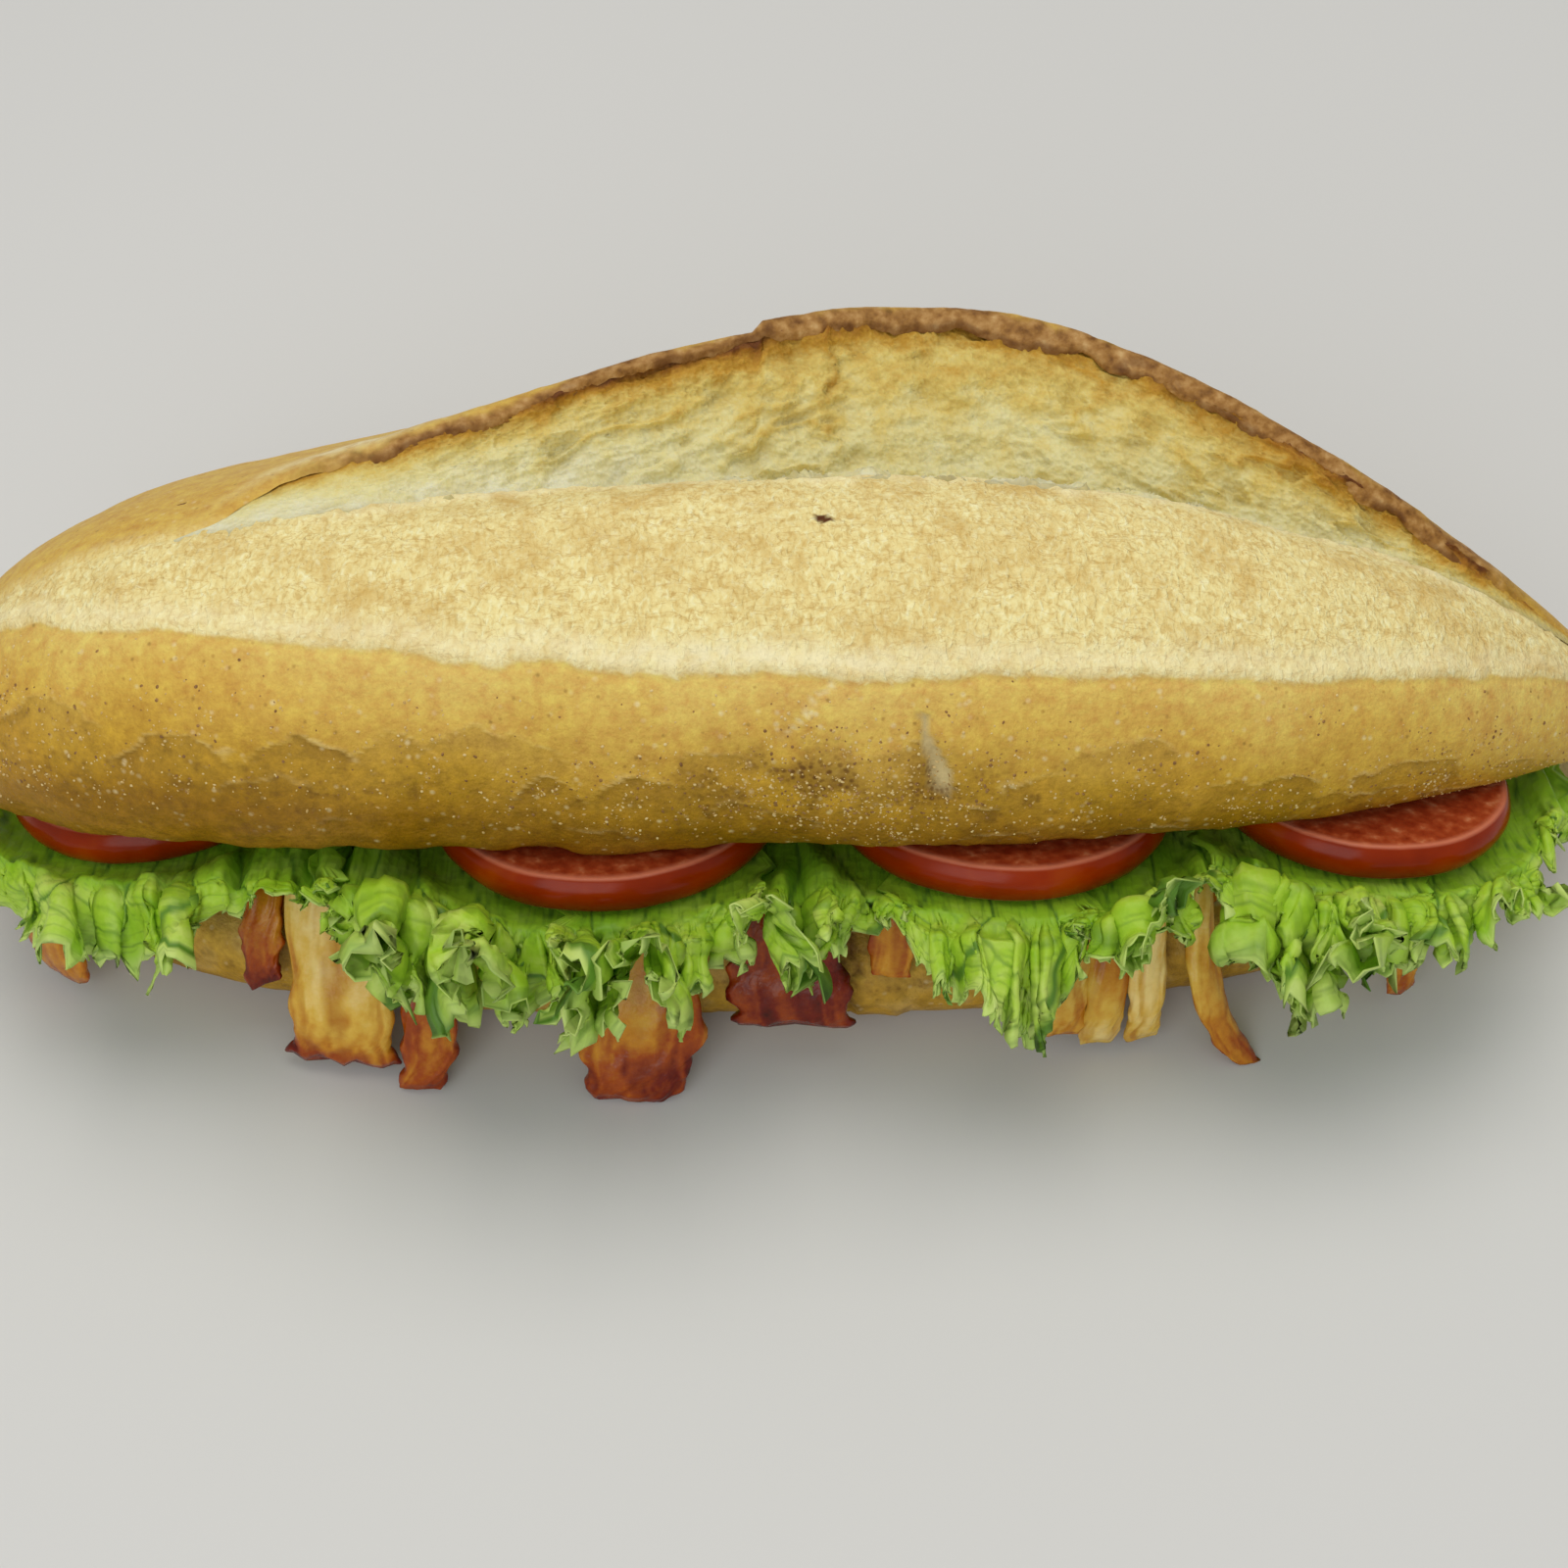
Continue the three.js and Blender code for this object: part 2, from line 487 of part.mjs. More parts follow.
const chickenPieces = [
  {
    name: "chicken_end_piece",
    colour: 0x8c6013,
    seed: 41,
    stops: [[-150, -3, 0, 5, 1.3], [-150, 5, 0, 6.6, 2.2], [-149, 17, 1, 7.5, 2.4], [-147, 27, 1.5, 4, 1.6]],
  },
  {
    name: "chicken_bit",
    colour: 0x8a4a1c,
    seed: 44,
    rings: 9,
    stops: [[-102, -12, 0, 3, 1.8], [-102, 3, 0, 3.4, 2], [-103, 12, 1, 3.2, 2], [-103, 19, 1, 2, 1.2]],
  },
  {
    name: "chicken_slab",
    colour: 0xb8983d,
    seed: 47,
    raggedness: 0.08,
    rings: 15,
    stops: [
      [-88, -22, 0, 8.4, 1.8],
      [-87.5, -4, 0, 9.6, 2.5],
      [-87, 12, 2, 10.2, 2.6],
      [-87.5, 24, 3, 9.8, 2.6],
      [-88.5, 32, 3.5, 8.6, 2.2],
    ],
  },
  {
    name: "chicken_red_lobe",
    colour: 0x7a2c10,
    seed: 50,
    stops: [[-70, -10, 0, 4, 2], [-70, 6, 0, 5, 2.4], [-70, 24, 4, 5.4, 2.4], [-72.5, 34, 8, 3.4, 1.6]],
  },
  {
    name: "chicken_lobe",
    colour: 0x8a4d16,
    seed: 53,
    rings: 14,
    stops: [
      [-29, -16, 0, 9, 2],
      [-29, 2, 0, 11, 2.6],
      [-28.5, 18, 2, 12.4, 3],
      [-29, 28, 6, 10.5, 2.8],
      [-30, 34.5, 9, 6, 1.8],
    ],
  },
  {
    name: "chicken_dark_chunk",
    colour: 0x4a190a,
    seed: 56,
    rings: 10,
    stops: [[0, -12, 0, 8, 2], [0, 4, 0, 10.5, 2.4], [1, 15, 0, 12, 2.4], [2, 22, 0, 9, 1.8]],
  },
  {
    name: "chicken_small_piece",
    colour: 0x9a6a2c,
    seed: 59,
    rings: 9,
    stops: [[20, -14, 0, 4, 1.8], [20.5, -2, 0, 4.6, 2.2], [21, 7, 0, 4.6, 2], [21, 12, 0, 3, 1.4]],
  },
  {
    name: "chicken_strip_1",
    colour: 0xa8823a,
    seed: 62,
    stops: [[56, -14, 0, 3.2, 1.8], [56, 4, 0, 3.9, 2], [55.5, 20, 0, 4.2, 2], [55, 28, 0, 3.4, 1.6]],
  },
  {
    name: "chicken_strip_2",
    colour: 0xb09048,
    seed: 65,
    stops: [[64.6, -14, 0, 2.8, 1.8], [64.4, 4, 0, 3.2, 2], [63.8, 20, 0.5, 3.4, 2], [63, 31, 1, 2.4, 1.2]],
  },
  {
    name: "chicken_strip_3",
    colour: 0xb5964f,
    seed: 68,
    stops: [[71.8, -14, 0, 2.4, 1.8], [71.8, 4, 0, 2.7, 2], [72, 20, 0.5, 2.7, 2], [72, 30, 1, 1.9, 1.2]],
  },
  {
    name: "chicken_strip_4",
    colour: 0xa8832e,
    seed: 71,
    stops: [
      [80, -16, 0, 2.6, 1.8],
      [81, 2, 0, 3, 2.1],
      [84, 18, 1, 3.3, 2.1],
      [89, 29, 4, 3.2, 2.1],
      [93.5, 34.5, 8, 2.2, 1.5],
    ],
  },
  {
    name: "chicken_strip_5",
    colour: 0xa46d19,
    seed: 74,
    stops: [[125, -10, 0, 3, 1.8], [125, 6, 0, 3.4, 2], [125.5, 20, 1, 3.4, 2], [126, 29, 2.5, 2.4, 1.4]],
  },
];

// ---- Lettuce ------------------------------------------------------------------------------------
// A leaf lies flat under the tomato. Past the front of bread and tomato it hangs free and ruffled: its
// margin leans in and out by turns, and where it curls most it flips up. It hangs longest at its tip.
const HELD_LENGTH = 26; // of the flat part
const HELD_ROWS = 3;
const FREE_CLEARANCE = 2.2; // in front of bread and tomato
const leaves = [
  { from: -160, to: -87, tip: -122, length: 22, side: 0.3, lean: 24, frill: 23, flip: 20, clear: 8 },
  { from: -86, to: -41, tip: -69, length: 28, side: 0.5, lean: 34, frill: 17, flip: 50, clear: 11.5 },
  { from: -40, to: -7, tip: -29, length: 26, side: 0.6, lean: 34, frill: 18, flip: 70, clear: 11 },
  { from: -6, to: 22, tip: -1, length: 22, side: 0.45, lean: 34, frill: 16, flip: 50, clear: 8 },
  { from: 23, to: 56, tip: 46, length: 30, side: 0.4, lean: 20, frill: 19, flip: 10, clear: 7 },
  { from: 57, to: 83, tip: 66, length: 13, side: 0.6, lean: 34, frill: 16, flip: 90, clear: 9 },
  { from: 84, to: 120, tip: 97, length: 29, side: 0.4, lean: 36, frill: 18, flip: 75, clear: 8 },
  { from: 121, to: 158, tip: 127, length: 16, side: 0.5, lean: 34, frill: 16, flip: 50, clear: 8 },
];
const REST_HEADING = -76; // degrees above the level in which the free part hangs, without its ruffles

function lettuceLeaf(leaf, seed, columns = 16, rows = 9) {
  const frill = wave(seed, leaf.frill);
  const reach = wave(seed + 1, leaf.frill * 1.5);
  const sway = wave(seed + 2, leaf.frill * 0.9);
  const grid = [];
  for (let i = 0; i < columns; i++) {
    const share = i / (columns - 1);
    const rootX = mix(leaf.from, leaf.to, share);
    const end = rootX < leaf.tip ? leaf.from : leaf.to;
    const towardsSide = smooth(0.1, 1, (rootX - leaf.tip) / (end - leaf.tip));
    const length = leaf.length * mix(1, leaf.side, towardsSide) * (1 + 0.12 * reach(rootX));
    const ruffle = frill(rootX);
    const margin = (REST_HEADING + leaf.lean * ruffle + leaf.flip * smooth(0.35, 1, ruffle)) * degrees;
    const held = foremost(rootX) - FREE_CLEARANCE;
    const step = length / (rows - HELD_ROWS);
    const column = [];
    let [y, z] = [0, 0];
    for (let j = 0; j < rows; j++) {
      if (j < HELD_ROWS) {
        y = held + HELD_LENGTH * (1 - j / (HELD_ROWS - 1));
        z = undersideAt(rootX, y) - LEAF_THICKNESS;
      } else {
        const down = (j - HELD_ROWS + 1) / (rows - HELD_ROWS);
        const heading = mix(tomatoTilt, margin, pow(down, 0.45));
        [y, z] = clearOf(rootX, y - step * cos(heading), z + step * sin(heading), leaf.clear);
      }
      const free = smooth(HELD_ROWS - 1, rows - 1, j);
      const aside = 3 * sway(rootX) * free * sin(PI * share);
      column.push([rootX + aside, y, z]);
    }
    grid.push(column);
  }
  return sheetSolid(grid, LEAF_THICKNESS);
}

// Moves a place outwards to where it clears the chicken that hangs over the front edge.
function clearOf(x, y, z, clearance) {
  const [centreY, centreZ] = [bendLine(x), floorAt(x) - BEND_RADIUS];
  const least = BEND_RADIUS + clearance;
  if (z < centreZ) return [min(y, centreY - least), max(z, 1)];
  const distance = hypot(y - centreY, z - centreZ);
  if (distance >= least) return [y, z];
  return [centreY + ((y - centreY) * least) / distance, centreZ + ((z - centreZ) * least) / distance];
}

// ---- The sandwich -------------------------------------------------------------------------------
const sandwich = new THREE.Group();

function add(name, geometry, color, roughness) {
  const mesh = new THREE.Mesh(geometry, new THREE.MeshStandardMaterial({ color, roughness, metalness: 0 }));
  mesh.name = name;
  sandwich.add(mesh);
  return mesh;
}

add("bread_bottom", bottomHalf(), 0x8d7532, 0.75);
add("bread_top", topHalf(), 0xc4a149, 0.7);
for (const slice of tomatoes) layTomato(add(slice.name, tomatoSlice(slice.radius), 0x892001, 0.25), slice);
add("chicken_bed", chickenBed(), 0xa8762c, 0.5);
for (const piece of chickenPieces) add(piece.name, chickenPiece(piece), piece.colour, 0.45);
leaves.forEach((leaf, index) => {
  add(`lettuce_leaf_${index + 1}`, lettuceLeaf(leaf, 80 + 3 * index), 0x8cb44d, 0.5);
});

// The origin goes under the middle of the whole, on the surface it rests on.
const box = new THREE.Box3().setFromObject(sandwich, true);
const middle = box.getCenter(new THREE.Vector3());
sandwich.position.set(-middle.x, -middle.y, -box.min.z);

export default sandwich;
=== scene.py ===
"""The looks of a chicken doner sandwich: a long split loaf with its filling, built round the packed model.

The shapes are worked out in millimetres in the loaf's own frame, where x = 0 is its widest place, and are
turned into metres in the model's frame when a piece is made.
"""
from functools import partial
from math import atan, cos, pi, radians, sin

import bpy
import numpy as np
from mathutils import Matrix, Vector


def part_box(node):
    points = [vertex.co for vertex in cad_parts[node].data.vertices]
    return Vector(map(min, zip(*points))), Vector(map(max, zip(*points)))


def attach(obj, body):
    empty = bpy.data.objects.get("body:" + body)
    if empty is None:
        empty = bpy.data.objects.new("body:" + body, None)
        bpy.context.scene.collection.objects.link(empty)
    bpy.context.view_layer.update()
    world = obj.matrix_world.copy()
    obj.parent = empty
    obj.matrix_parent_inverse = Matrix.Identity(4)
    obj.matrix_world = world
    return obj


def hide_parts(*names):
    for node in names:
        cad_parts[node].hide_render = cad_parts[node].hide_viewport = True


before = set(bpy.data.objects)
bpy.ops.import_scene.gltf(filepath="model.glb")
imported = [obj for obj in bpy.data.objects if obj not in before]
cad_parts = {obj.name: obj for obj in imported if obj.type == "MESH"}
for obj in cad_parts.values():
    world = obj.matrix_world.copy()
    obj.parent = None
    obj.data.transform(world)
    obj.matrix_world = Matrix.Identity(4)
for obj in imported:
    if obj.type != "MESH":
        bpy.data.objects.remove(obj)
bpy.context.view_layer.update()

bl_info = {
    "name": "Chicken Doner Sandwich",
    "version": (1, 0, 0),
    "blender": (4, 5, 0),
    "location": "View3D > Sidebar > Sandwich",
    "description": "Builds a long split loaf filled with shaved chicken, lettuce and tomato",
    "category": "Add Mesh",
}

MM = 0.001

# ---- Sizes of the construction, in millimetres, the same as the solids have -----------------------
LOAF_LENGTH = (177, 179)  # to the left and right of the widest place
LOAF_HALF_DEPTH = 59
LOAF_BOW = (3.4, 2)
DEPTH_TAPER = ((4.4, 0.58), (2.5, 0.77))  # bluntness and fullness, left and right
HEIGHT_TAPER = ((4.3, 0.58), (2.3, 0.69))
CUT_HEIGHT = 39.6
CUT_SLOPE = 0.262
CUT_END_DROOP = 3
CUT_TIP_DROOP = 8
TOP_WAIST = 10.3
TOP_RISE = (46.4, 49.4)  # at the back and at the front
LOWER_EDGE_TUCK = 4
SCORE = (-0.684, 0.918)  # places where the opened score starts and ends
SCORE_WIDEST = 0.552
SCORE_POINTEDNESS = (1.78, 1.35)
LIP_RISE = 31.3
LIP_ANGLE = radians(56.4)
LIP_ANGLE_SHIFT = radians(32)
LIP_HOLLOW = 1.6
LIP_STEP_X = -5
LIP_STEP_HEIGHT = 2.6
WALL_ANGLE = radians(17)
WALL_STEEPNESS = 0.9
DIP_ANGLE = radians(20)
DIP_DEPTH = 7.9
LAST_PLACE = 0.9995  # the loaf's end columns stop just short of its tips, which are at 1
CROWN_MIDDLE = CUT_HEIGHT + 5  # height of the line that the top half lies round

BASE_LENGTH = (171, 172)
BASE_HEIGHT = 25
BASE_FLAT_HALF_DEPTH = 46
BASE_SIDE_DEPTH = 15
BASE_SIDE_HEIGHT = 13
BASE_SIDE_END = radians(62)
BASE_TIP_HEIGHT = 19
BASE_DEPTH_TAPER = ((3.6, 0.7), (2.4, 0.72))
BASE_HEIGHT_TAPER = ((3, 0.5), (2.4, 0.5))
BASE_HALF_DEPTH = BASE_FLAT_HALF_DEPTH + BASE_SIDE_DEPTH
BASE_UPTURN = (0.8, 0.95)

GAP = 0.4
BEND_RADIUS = 15
BEND_INSET = 12.5
MOST_BEND = radians(84)
TABLE_GAP = 0.5
TOMATO_THICKNESS = 7.5
TOMATO_TILT = atan(CUT_SLOPE)
TOMATO_DROP = (TOMATO_THICKNESS + 2 * GAP) / cos(TOMATO_TILT)
TOMATOES = {  # x, y of the front, radius
    "tomato_slice_1": (-127, -50, 29),
    "tomato_slice_2": (-35, -68, 35),
    "tomato_slice_3": (43, -65, 35),
    "tomato_slice_4": (115, -56, 31),
}


def loaf_origin():
    """Where the loaf's own origin lies in the model, in millimetres, from a slice whose place is known."""
    low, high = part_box("tomato_slice_2")
    x, front, radius = TOMATOES["tomato_slice_2"]
    middle = (low + high) / (2 * MM)
    return np.array([middle.x - x, middle.y - (front + radius * cos(TOMATO_TILT)), 0.0])


ORIGIN = loaf_origin()


# ---- Helpers for numbers --------------------------------------------------------------------------
def mix(a, b, share):
    """A value between a and b."""
    return a + (b - a) * share


def smooth(low, high, value):
    """A soft step from 0 at low to 1 at high, which may be below low."""
    share = np.clip((value - low) / (high - low), 0, 1)
    return share * share * (3 - 2 * share)


def bump_at(value, middle, width):
    """1 at the middle, falling softly to 0 about two widths away."""
    return np.exp(-(((value - middle) / width) ** 2))


def sided(place, pair):
    """The left or the right one of a pair of values, by the sign of the place."""
    return np.where(place < 0, pair[0], pair[1])


def corner_numbers(corner, seed):
    """A number from 0 to 1 for each corner of a lattice, the same one on each run."""
    x, y, z = corner[..., 0], corner[..., 1], corner[..., 2]
    mixed = ((x * 73856093) ^ (y * 19349663) ^ (z * 83492791) ^ (seed * 26544357)) & 0xFFFFFFFF
    mixed = ((mixed ^ (mixed >> 13)) * 1274126177) & 0xFFFFFFFF
    mixed = ((mixed ^ (mixed >> 15)) * 2246822519) & 0xFFFFFFFF
    return ((mixed ^ (mixed >> 16)) & 0xFFFFFF) / 0xFFFFFF


def noise(points, size, seed):
    """Smooth uneven values of -1 to 1, whose lumps are about size across; size may differ by axis."""
    scaled = points / np.asarray(size, float)
    low = np.floor(scaled).astype(np.int64)
    part = scaled - low
    part = part * part * part * (part * (part * 6 - 15) + 10)
    total = np.zeros(points.shape[:-1])
    for corner in np.ndindex(2, 2, 2):
        weight = np.prod(np.where(np.array(corner) == 1, part, 1 - part), axis=-1)
        total += weight * corner_numbers(low + np.array(corner), seed)
    return 2 * total - 1


def rough(points, size, seed, octaves=4, gain=0.5):
    """Noise on several scales at once, each half the size of the one before."""
    sizes = np.asarray(size, float)
    amounts = [gain**octave for octave in range(octaves)]
    layers = [amount * noise(points, sizes / 2**k, seed + k) for k, amount in enumerate(amounts)]
    return sum(layers) / sum(amounts)


def layered(points, seed, *layers):
    """Noise in layers, each with its height and its size."""
    return sum(height * noise(points, size, seed + k) for k, (height, size) in enumerate(layers))


def cells(points, size, seed):
    """Distances to the nearest and the next of scattered spots, in sizes, and the nearest's own number."""
    scaled = points / np.asarray(size, float)
    low = np.floor(scaled).astype(np.int64)
    nearest = np.full(points.shape[:-1], 9.0)
    following = nearest.copy()
    number = np.zeros_like(nearest)
    for step in np.ndindex(3, 3, 3):
        corner = low + np.array(step) - 1
        spot = corner + np.stack([corner_numbers(corner, seed + k) for k in range(3)], -1)
        distance = np.linalg.norm(spot - scaled, axis=-1)
        nearer = distance < nearest
        following = np.where(nearer, nearest, np.minimum(following, distance))
        number = np.where(nearer, corner_numbers(corner, seed + 3), number)
        nearest = np.minimum(nearest, distance)
    return nearest, following, number


def flat_points(*values):
    """Points for noise from one, two or three arrays of coordinates."""
    arrays = np.broadcast_arrays(*values)
    missing = [np.zeros_like(arrays[0], dtype=float)] * (3 - len(arrays))
    return np.stack(list(arrays) + missing, -1).astype(float)


def seeded_numbers(seed, count):
    """Numbers from 0 to 1 that are the same on each run."""
    whole = 0xFFFFFFFF
    state = (seed * 2654435761) & whole
    numbers = []
    for _ in range(count):
        state = (state + 0x6D2B79F5) & whole
        mixed = ((state ^ (state >> 15)) * (1 | state)) & whole
        mixed = ((mixed + (((mixed ^ (mixed >> 7)) * (61 | mixed)) & whole)) & whole) ^ mixed
        numbers.append((mixed ^ (mixed >> 14)) / 2**32)
    return numbers


def wave(x, seed, wavelength):
    """A smooth uneven wave of about -1 to 1, made of three sines."""
    total = 0
    for factor, phase in zip((1, 1.73, 2.61), seeded_numbers(seed, 3)):
        total = total + 0.62 / factor * np.sin(2 * pi * (factor / wavelength * x + phase))
    return total


# ---- The loaf's surfaces ----------------------------------------------------------------------------
def taper(place, sides):
    """How much of its widest section is left at a place, of -1 to 1 from tip to tip."""
    bluntness = sided(place, (sides[0][0], sides[1][0]))
    fullness = sided(place, (sides[0][1], sides[1][1]))
    return np.maximum(0, 1 - np.abs(place) ** bluntness) ** fullness


def bow(place):
    """Shift in y by which the loaf curves forward towards its tips."""
    return -sided(place, LOAF_BOW) * place * place


def place_at(x, length=LOAF_LENGTH):
    """The place that an x is at."""
    return np.clip(x / sided(x, length), -1, 1)


def cut_face(depth, place):
    """Height of the cut face, which slopes up to the front and droops to the tips."""
    droop = CUT_END_DROOP * place**2 + CUT_TIP_DROOP * place**12
    return CUT_HEIGHT - CUT_SLOPE * depth - droop


def score_opening(place):
    """How far the score is open at a place, 0 where it is shut and 1 where it is widest."""
    share = np.clip((place - SCORE[0]) / (SCORE[1] - SCORE[0]), 0, 1)
    on_left = share < SCORE_WIDEST
    half = np.where(on_left, share / SCORE_WIDEST, (1 - share) / (1 - SCORE_WIDEST))
    return np.sin(pi / 2 * half) ** np.where(on_left, *SCORE_POINTEDNESS)


def lip_angle(place):
    """Angle round the crown at which the lip stands."""
    return LIP_ANGLE + LIP_ANGLE_SHIFT * (1 - score_opening(place))


def crown_radius(angle, place):
    """Radius of the top half's crown round its waist line, at an angle from the back to the front."""
    rise = mix(TOP_RISE[0], TOP_RISE[1], smooth(radians(60), radians(105), angle))
    plain = 1 / np.hypot(np.cos(angle) / LOAF_HALF_DEPTH, np.sin(angle) / rise)
    lip = lip_angle(place)
    foot = lip + WALL_ANGLE
    down = np.clip((angle - lip) / WALL_ANGLE, 0, 1)
    behind = LIP_RISE * np.clip(angle / lip, 0, 1) ** LIP_HOLLOW
    wall = mix(LIP_RISE, -DIP_DEPTH, np.sin(pi / 2 * down) ** WALL_STEEPNESS)
    dip = -DIP_DEPTH * (1 - smooth(foot, foot + DIP_ANGLE, angle))
    lift = np.where(angle < lip, behind, np.where(angle < foot, wall, dip))
    torn = smooth(-0.7, 0.7, LIP_STEP_X - place * sided(place, LOAF_LENGTH))
    near_lip = smooth(-radians(30), 0, angle - lip) * (1 - smooth(0, 1, down))
    return plain + score_opening(place) * (lift - LIP_STEP_HEIGHT * torn * near_lip)


def on_loaf(place, depth, height):
    """Points of the top half, from a depth and a height over the cut face in its widest section."""
    depth = depth * taper(place, DEPTH_TAPER)
    z = cut_face(depth, place) + height * taper(place, HEIGHT_TAPER)
    return np.stack([place * sided(place, LOAF_LENGTH) + 0 * depth, depth + bow(place), z], -1)


def crown(place, angle):
    """Points on the crown of the top half."""
    radius = crown_radius(angle, place)
    return on_loaf(place, radius * np.cos(angle), TOP_WAIST + radius * np.sin(angle))


def lower_edge(place, turn, side):
    """The curled-in lower edge: turn 0 is at the waist and a right angle at the cut face."""
    depth = side * (LOAF_HALF_DEPTH - LOWER_EDGE_TUCK * (1 - np.cos(turn)))
    return on_loaf(place, depth, TOP_WAIST * (1 - np.sin(turn)))


def dome_edge(place):
    """Angle at which the pale dome ends behind, torn off along the open crumb."""
    return lip_angle(place) + WALL_ANGLE + radians(15) * smooth(0.5, 1, score_opening(place))


def pale_edge(place):
    """Angle at which the pale dome meets the golden crust in front."""
    size = np.abs(place)
    droop = sided(place, (30, 9)) * size ** sided(place, (1.9, 2.6))
    tips = sided(place, (14, 35)) * size ** sided(place, (10, 14))
    return np.radians(148.5 - droop - tips)


def along_rows(grid):
    """Distance of each point from the start of its column, along the column."""
    gaps = np.linalg.norm(np.diff(grid, axis=1), axis=-1)
    return np.concatenate([np.zeros((len(grid), 1)), np.cumsum(gaps, axis=1)], axis=1)


def even_rows(lines, turns, rows, ends=None):
    """Splits each column's dense line into even steps as far as its end, and carries its angles along."""
    along = along_rows(lines)
    ends = along[:, -1] if ends is None else ends
    stacked = np.concatenate([lines, turns[..., None]], axis=-1)
    picked = np.empty((len(lines), rows, 4))
    for column in range(len(lines)):
        wanted = np.linspace(0, ends[column], rows)
        for axis in range(4):
            picked[column, :, axis] = np.interp(wanted, along[column], stacked[column, :, axis])
    return picked[..., :3], picked[..., 3]


def normals_of(grid):
    """Unit normals of a grid of points, from its columns and rows."""
    normal = np.cross(np.gradient(grid, axis=1), np.gradient(grid, axis=0))
    return normal / (np.linalg.norm(normal, axis=-1, keepdims=True) + 1e-9)


def outward(grid, height):
    """Unit normals of a grid that point away from the line along the loaf at this height."""
    normal = normals_of(grid)
    facing = np.sign(np.sum(normal * (grid * [0, 1, 1] - [0, 0, height]), axis=-1, keepdims=True))
    return normal * np.where(facing == 0, 1, facing)


def crowded_places(count, crowding=0.8):
    """Places from tip to tip of the loaf, closer together towards both tips."""
    even = np.linspace(-1, 1, count)
    return LAST_PLACE * mix(even, np.sin(pi / 2 * even), crowding)


def in_columns(places, shape):
    """The places of a grid's columns, for each of its points."""
    return np.broadcast_to(places[:, None], shape)


# ---- Helpers for pieces -----------------------------------------------------------------------------
def grid_faces(columns, rows, wrap=False):
    """Quads of a grid whose points run row by row inside each column; wrap closes the rows to a ring."""
    column, row = np.meshgrid(np.arange(columns - 1), np.arange(rows if wrap else rows - 1), indexing="ij")
    following = (row + 1) % rows
    corners = [column * rows + row, column * rows + following]
    corners += [(column + 1) * rows + following, (column + 1) * rows + row]
    return np.stack(corners, -1).reshape(-1, 4).tolist()


def make_piece(name, points, faces, material, replaced=(), values=None):
    """Makes a smooth mesh piece from points in loaf millimetres, and lets it ride on the sandwich."""
    mesh = bpy.data.meshes.new(name)
    placed = (np.asarray(points, float).reshape(-1, 3) + ORIGIN) * MM
    mesh.from_pydata(placed.tolist(), [], faces)
    for key, numbers in (values or {}).items():
        field = mesh.attributes.new(key, "FLOAT", "POINT").data
        field.foreach_set("value", np.asarray(numbers, np.float32).ravel())
    mesh.update()
    mesh.shade_smooth()
    mesh.materials.append(material)
    piece = bpy.data.objects.new(name, mesh)
    bpy.context.scene.collection.objects.link(piece)
    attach(piece, "root")
    if replaced:
        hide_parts(*replaced)
    return piece


def ring_piece(name, rings, material, replaced=(), values=None):
    """A closed piece through rings of points, with a middle point at each end."""
    columns, rows = rings.shape[:2]
    points = np.concatenate([rings.reshape(-1, 3), [rings[0].mean(axis=0)], [rings[-1].mean(axis=0)]])
    carried = {}
    for key, numbers in (values or {}).items():
        carried[key] = np.concatenate([numbers.ravel(), [numbers[0].mean(), numbers[-1].mean()]])
    faces = grid_faces(columns, rows, wrap=True)
    start, last = columns * rows, (columns - 1) * rows
    for k in range(rows):
        after = (k + 1) % rows
        faces += [[start, after, k], [start + 1, last + k, last + after]]
    return make_piece(name, points, faces, material, replaced, carried)


def sheet_piece(name, grid, thickness, material, replaced=(), values=None):
    """A thin closed piece round a wavy sheet of points."""
    columns, rows = grid.shape[:2]
    normal = normals_of(grid)
    over = grid + normal * (thickness / 2)[..., None]
    under = grid - normal * (thickness / 2)[..., None]
    half = columns * rows
    faces = grid_faces(columns, rows)
    faces += [[half + a, half + d, half + c, half + b] for a, b, c, d in faces]
    index = np.arange(half).reshape(columns, rows)
    rim = np.concatenate([index[:-1, 0], index[-1, :-1], index[:0:-1, -1], index[0, :0:-1]]).tolist()
    for a, b in zip(rim, rim[1:] + rim[:1]):
        faces.append([a, b, half + b, half + a])
    carried = {key: np.concatenate([numbers.ravel()] * 2) for key, numbers in (values or {}).items()}
    points = np.concatenate([over.reshape(-1, 3), under.reshape(-1, 3)])
    return make_piece(name, points, faces, material, replaced, carried)


# ---- Materials --------------------------------------------------------------------------------------
NOISE, CELLS, RAMP = "ShaderNodeTexNoise", "ShaderNodeTexVoronoi", "ShaderNodeValToRGB"
MIX, RANGE, MATH = "ShaderNodeMix", "ShaderNodeMapRange", "ShaderNodeMath"
STRETCH, BUMP, SURFACE = "ShaderNodeMapping", "ShaderNodeBump", "ShaderNodeBsdfPrincipled"
FACTOR, MIX_A, MIX_B = 0, 6, 7  # sockets of a Mix node that mixes colours
COLOURS = {"output": 2, "data_type": "RGBA"}  # makes a Mix node mix colours
FROM_LOW, FROM_HIGH, TO_LOW, TO_HIGH = 1, 2, 3, 4  # sockets of a Map Range node


def linear(colour):
    """An sRGB hex colour as linear red, green, blue and alpha."""
    shares = [int(colour[start:start + 2], 16) / 255 for start in (1, 3, 5)]
    return [c / 12.92 if c <= 0.04045 else ((c + 0.055) / 1.055) ** 2.4 for c in shares] + [1.0]


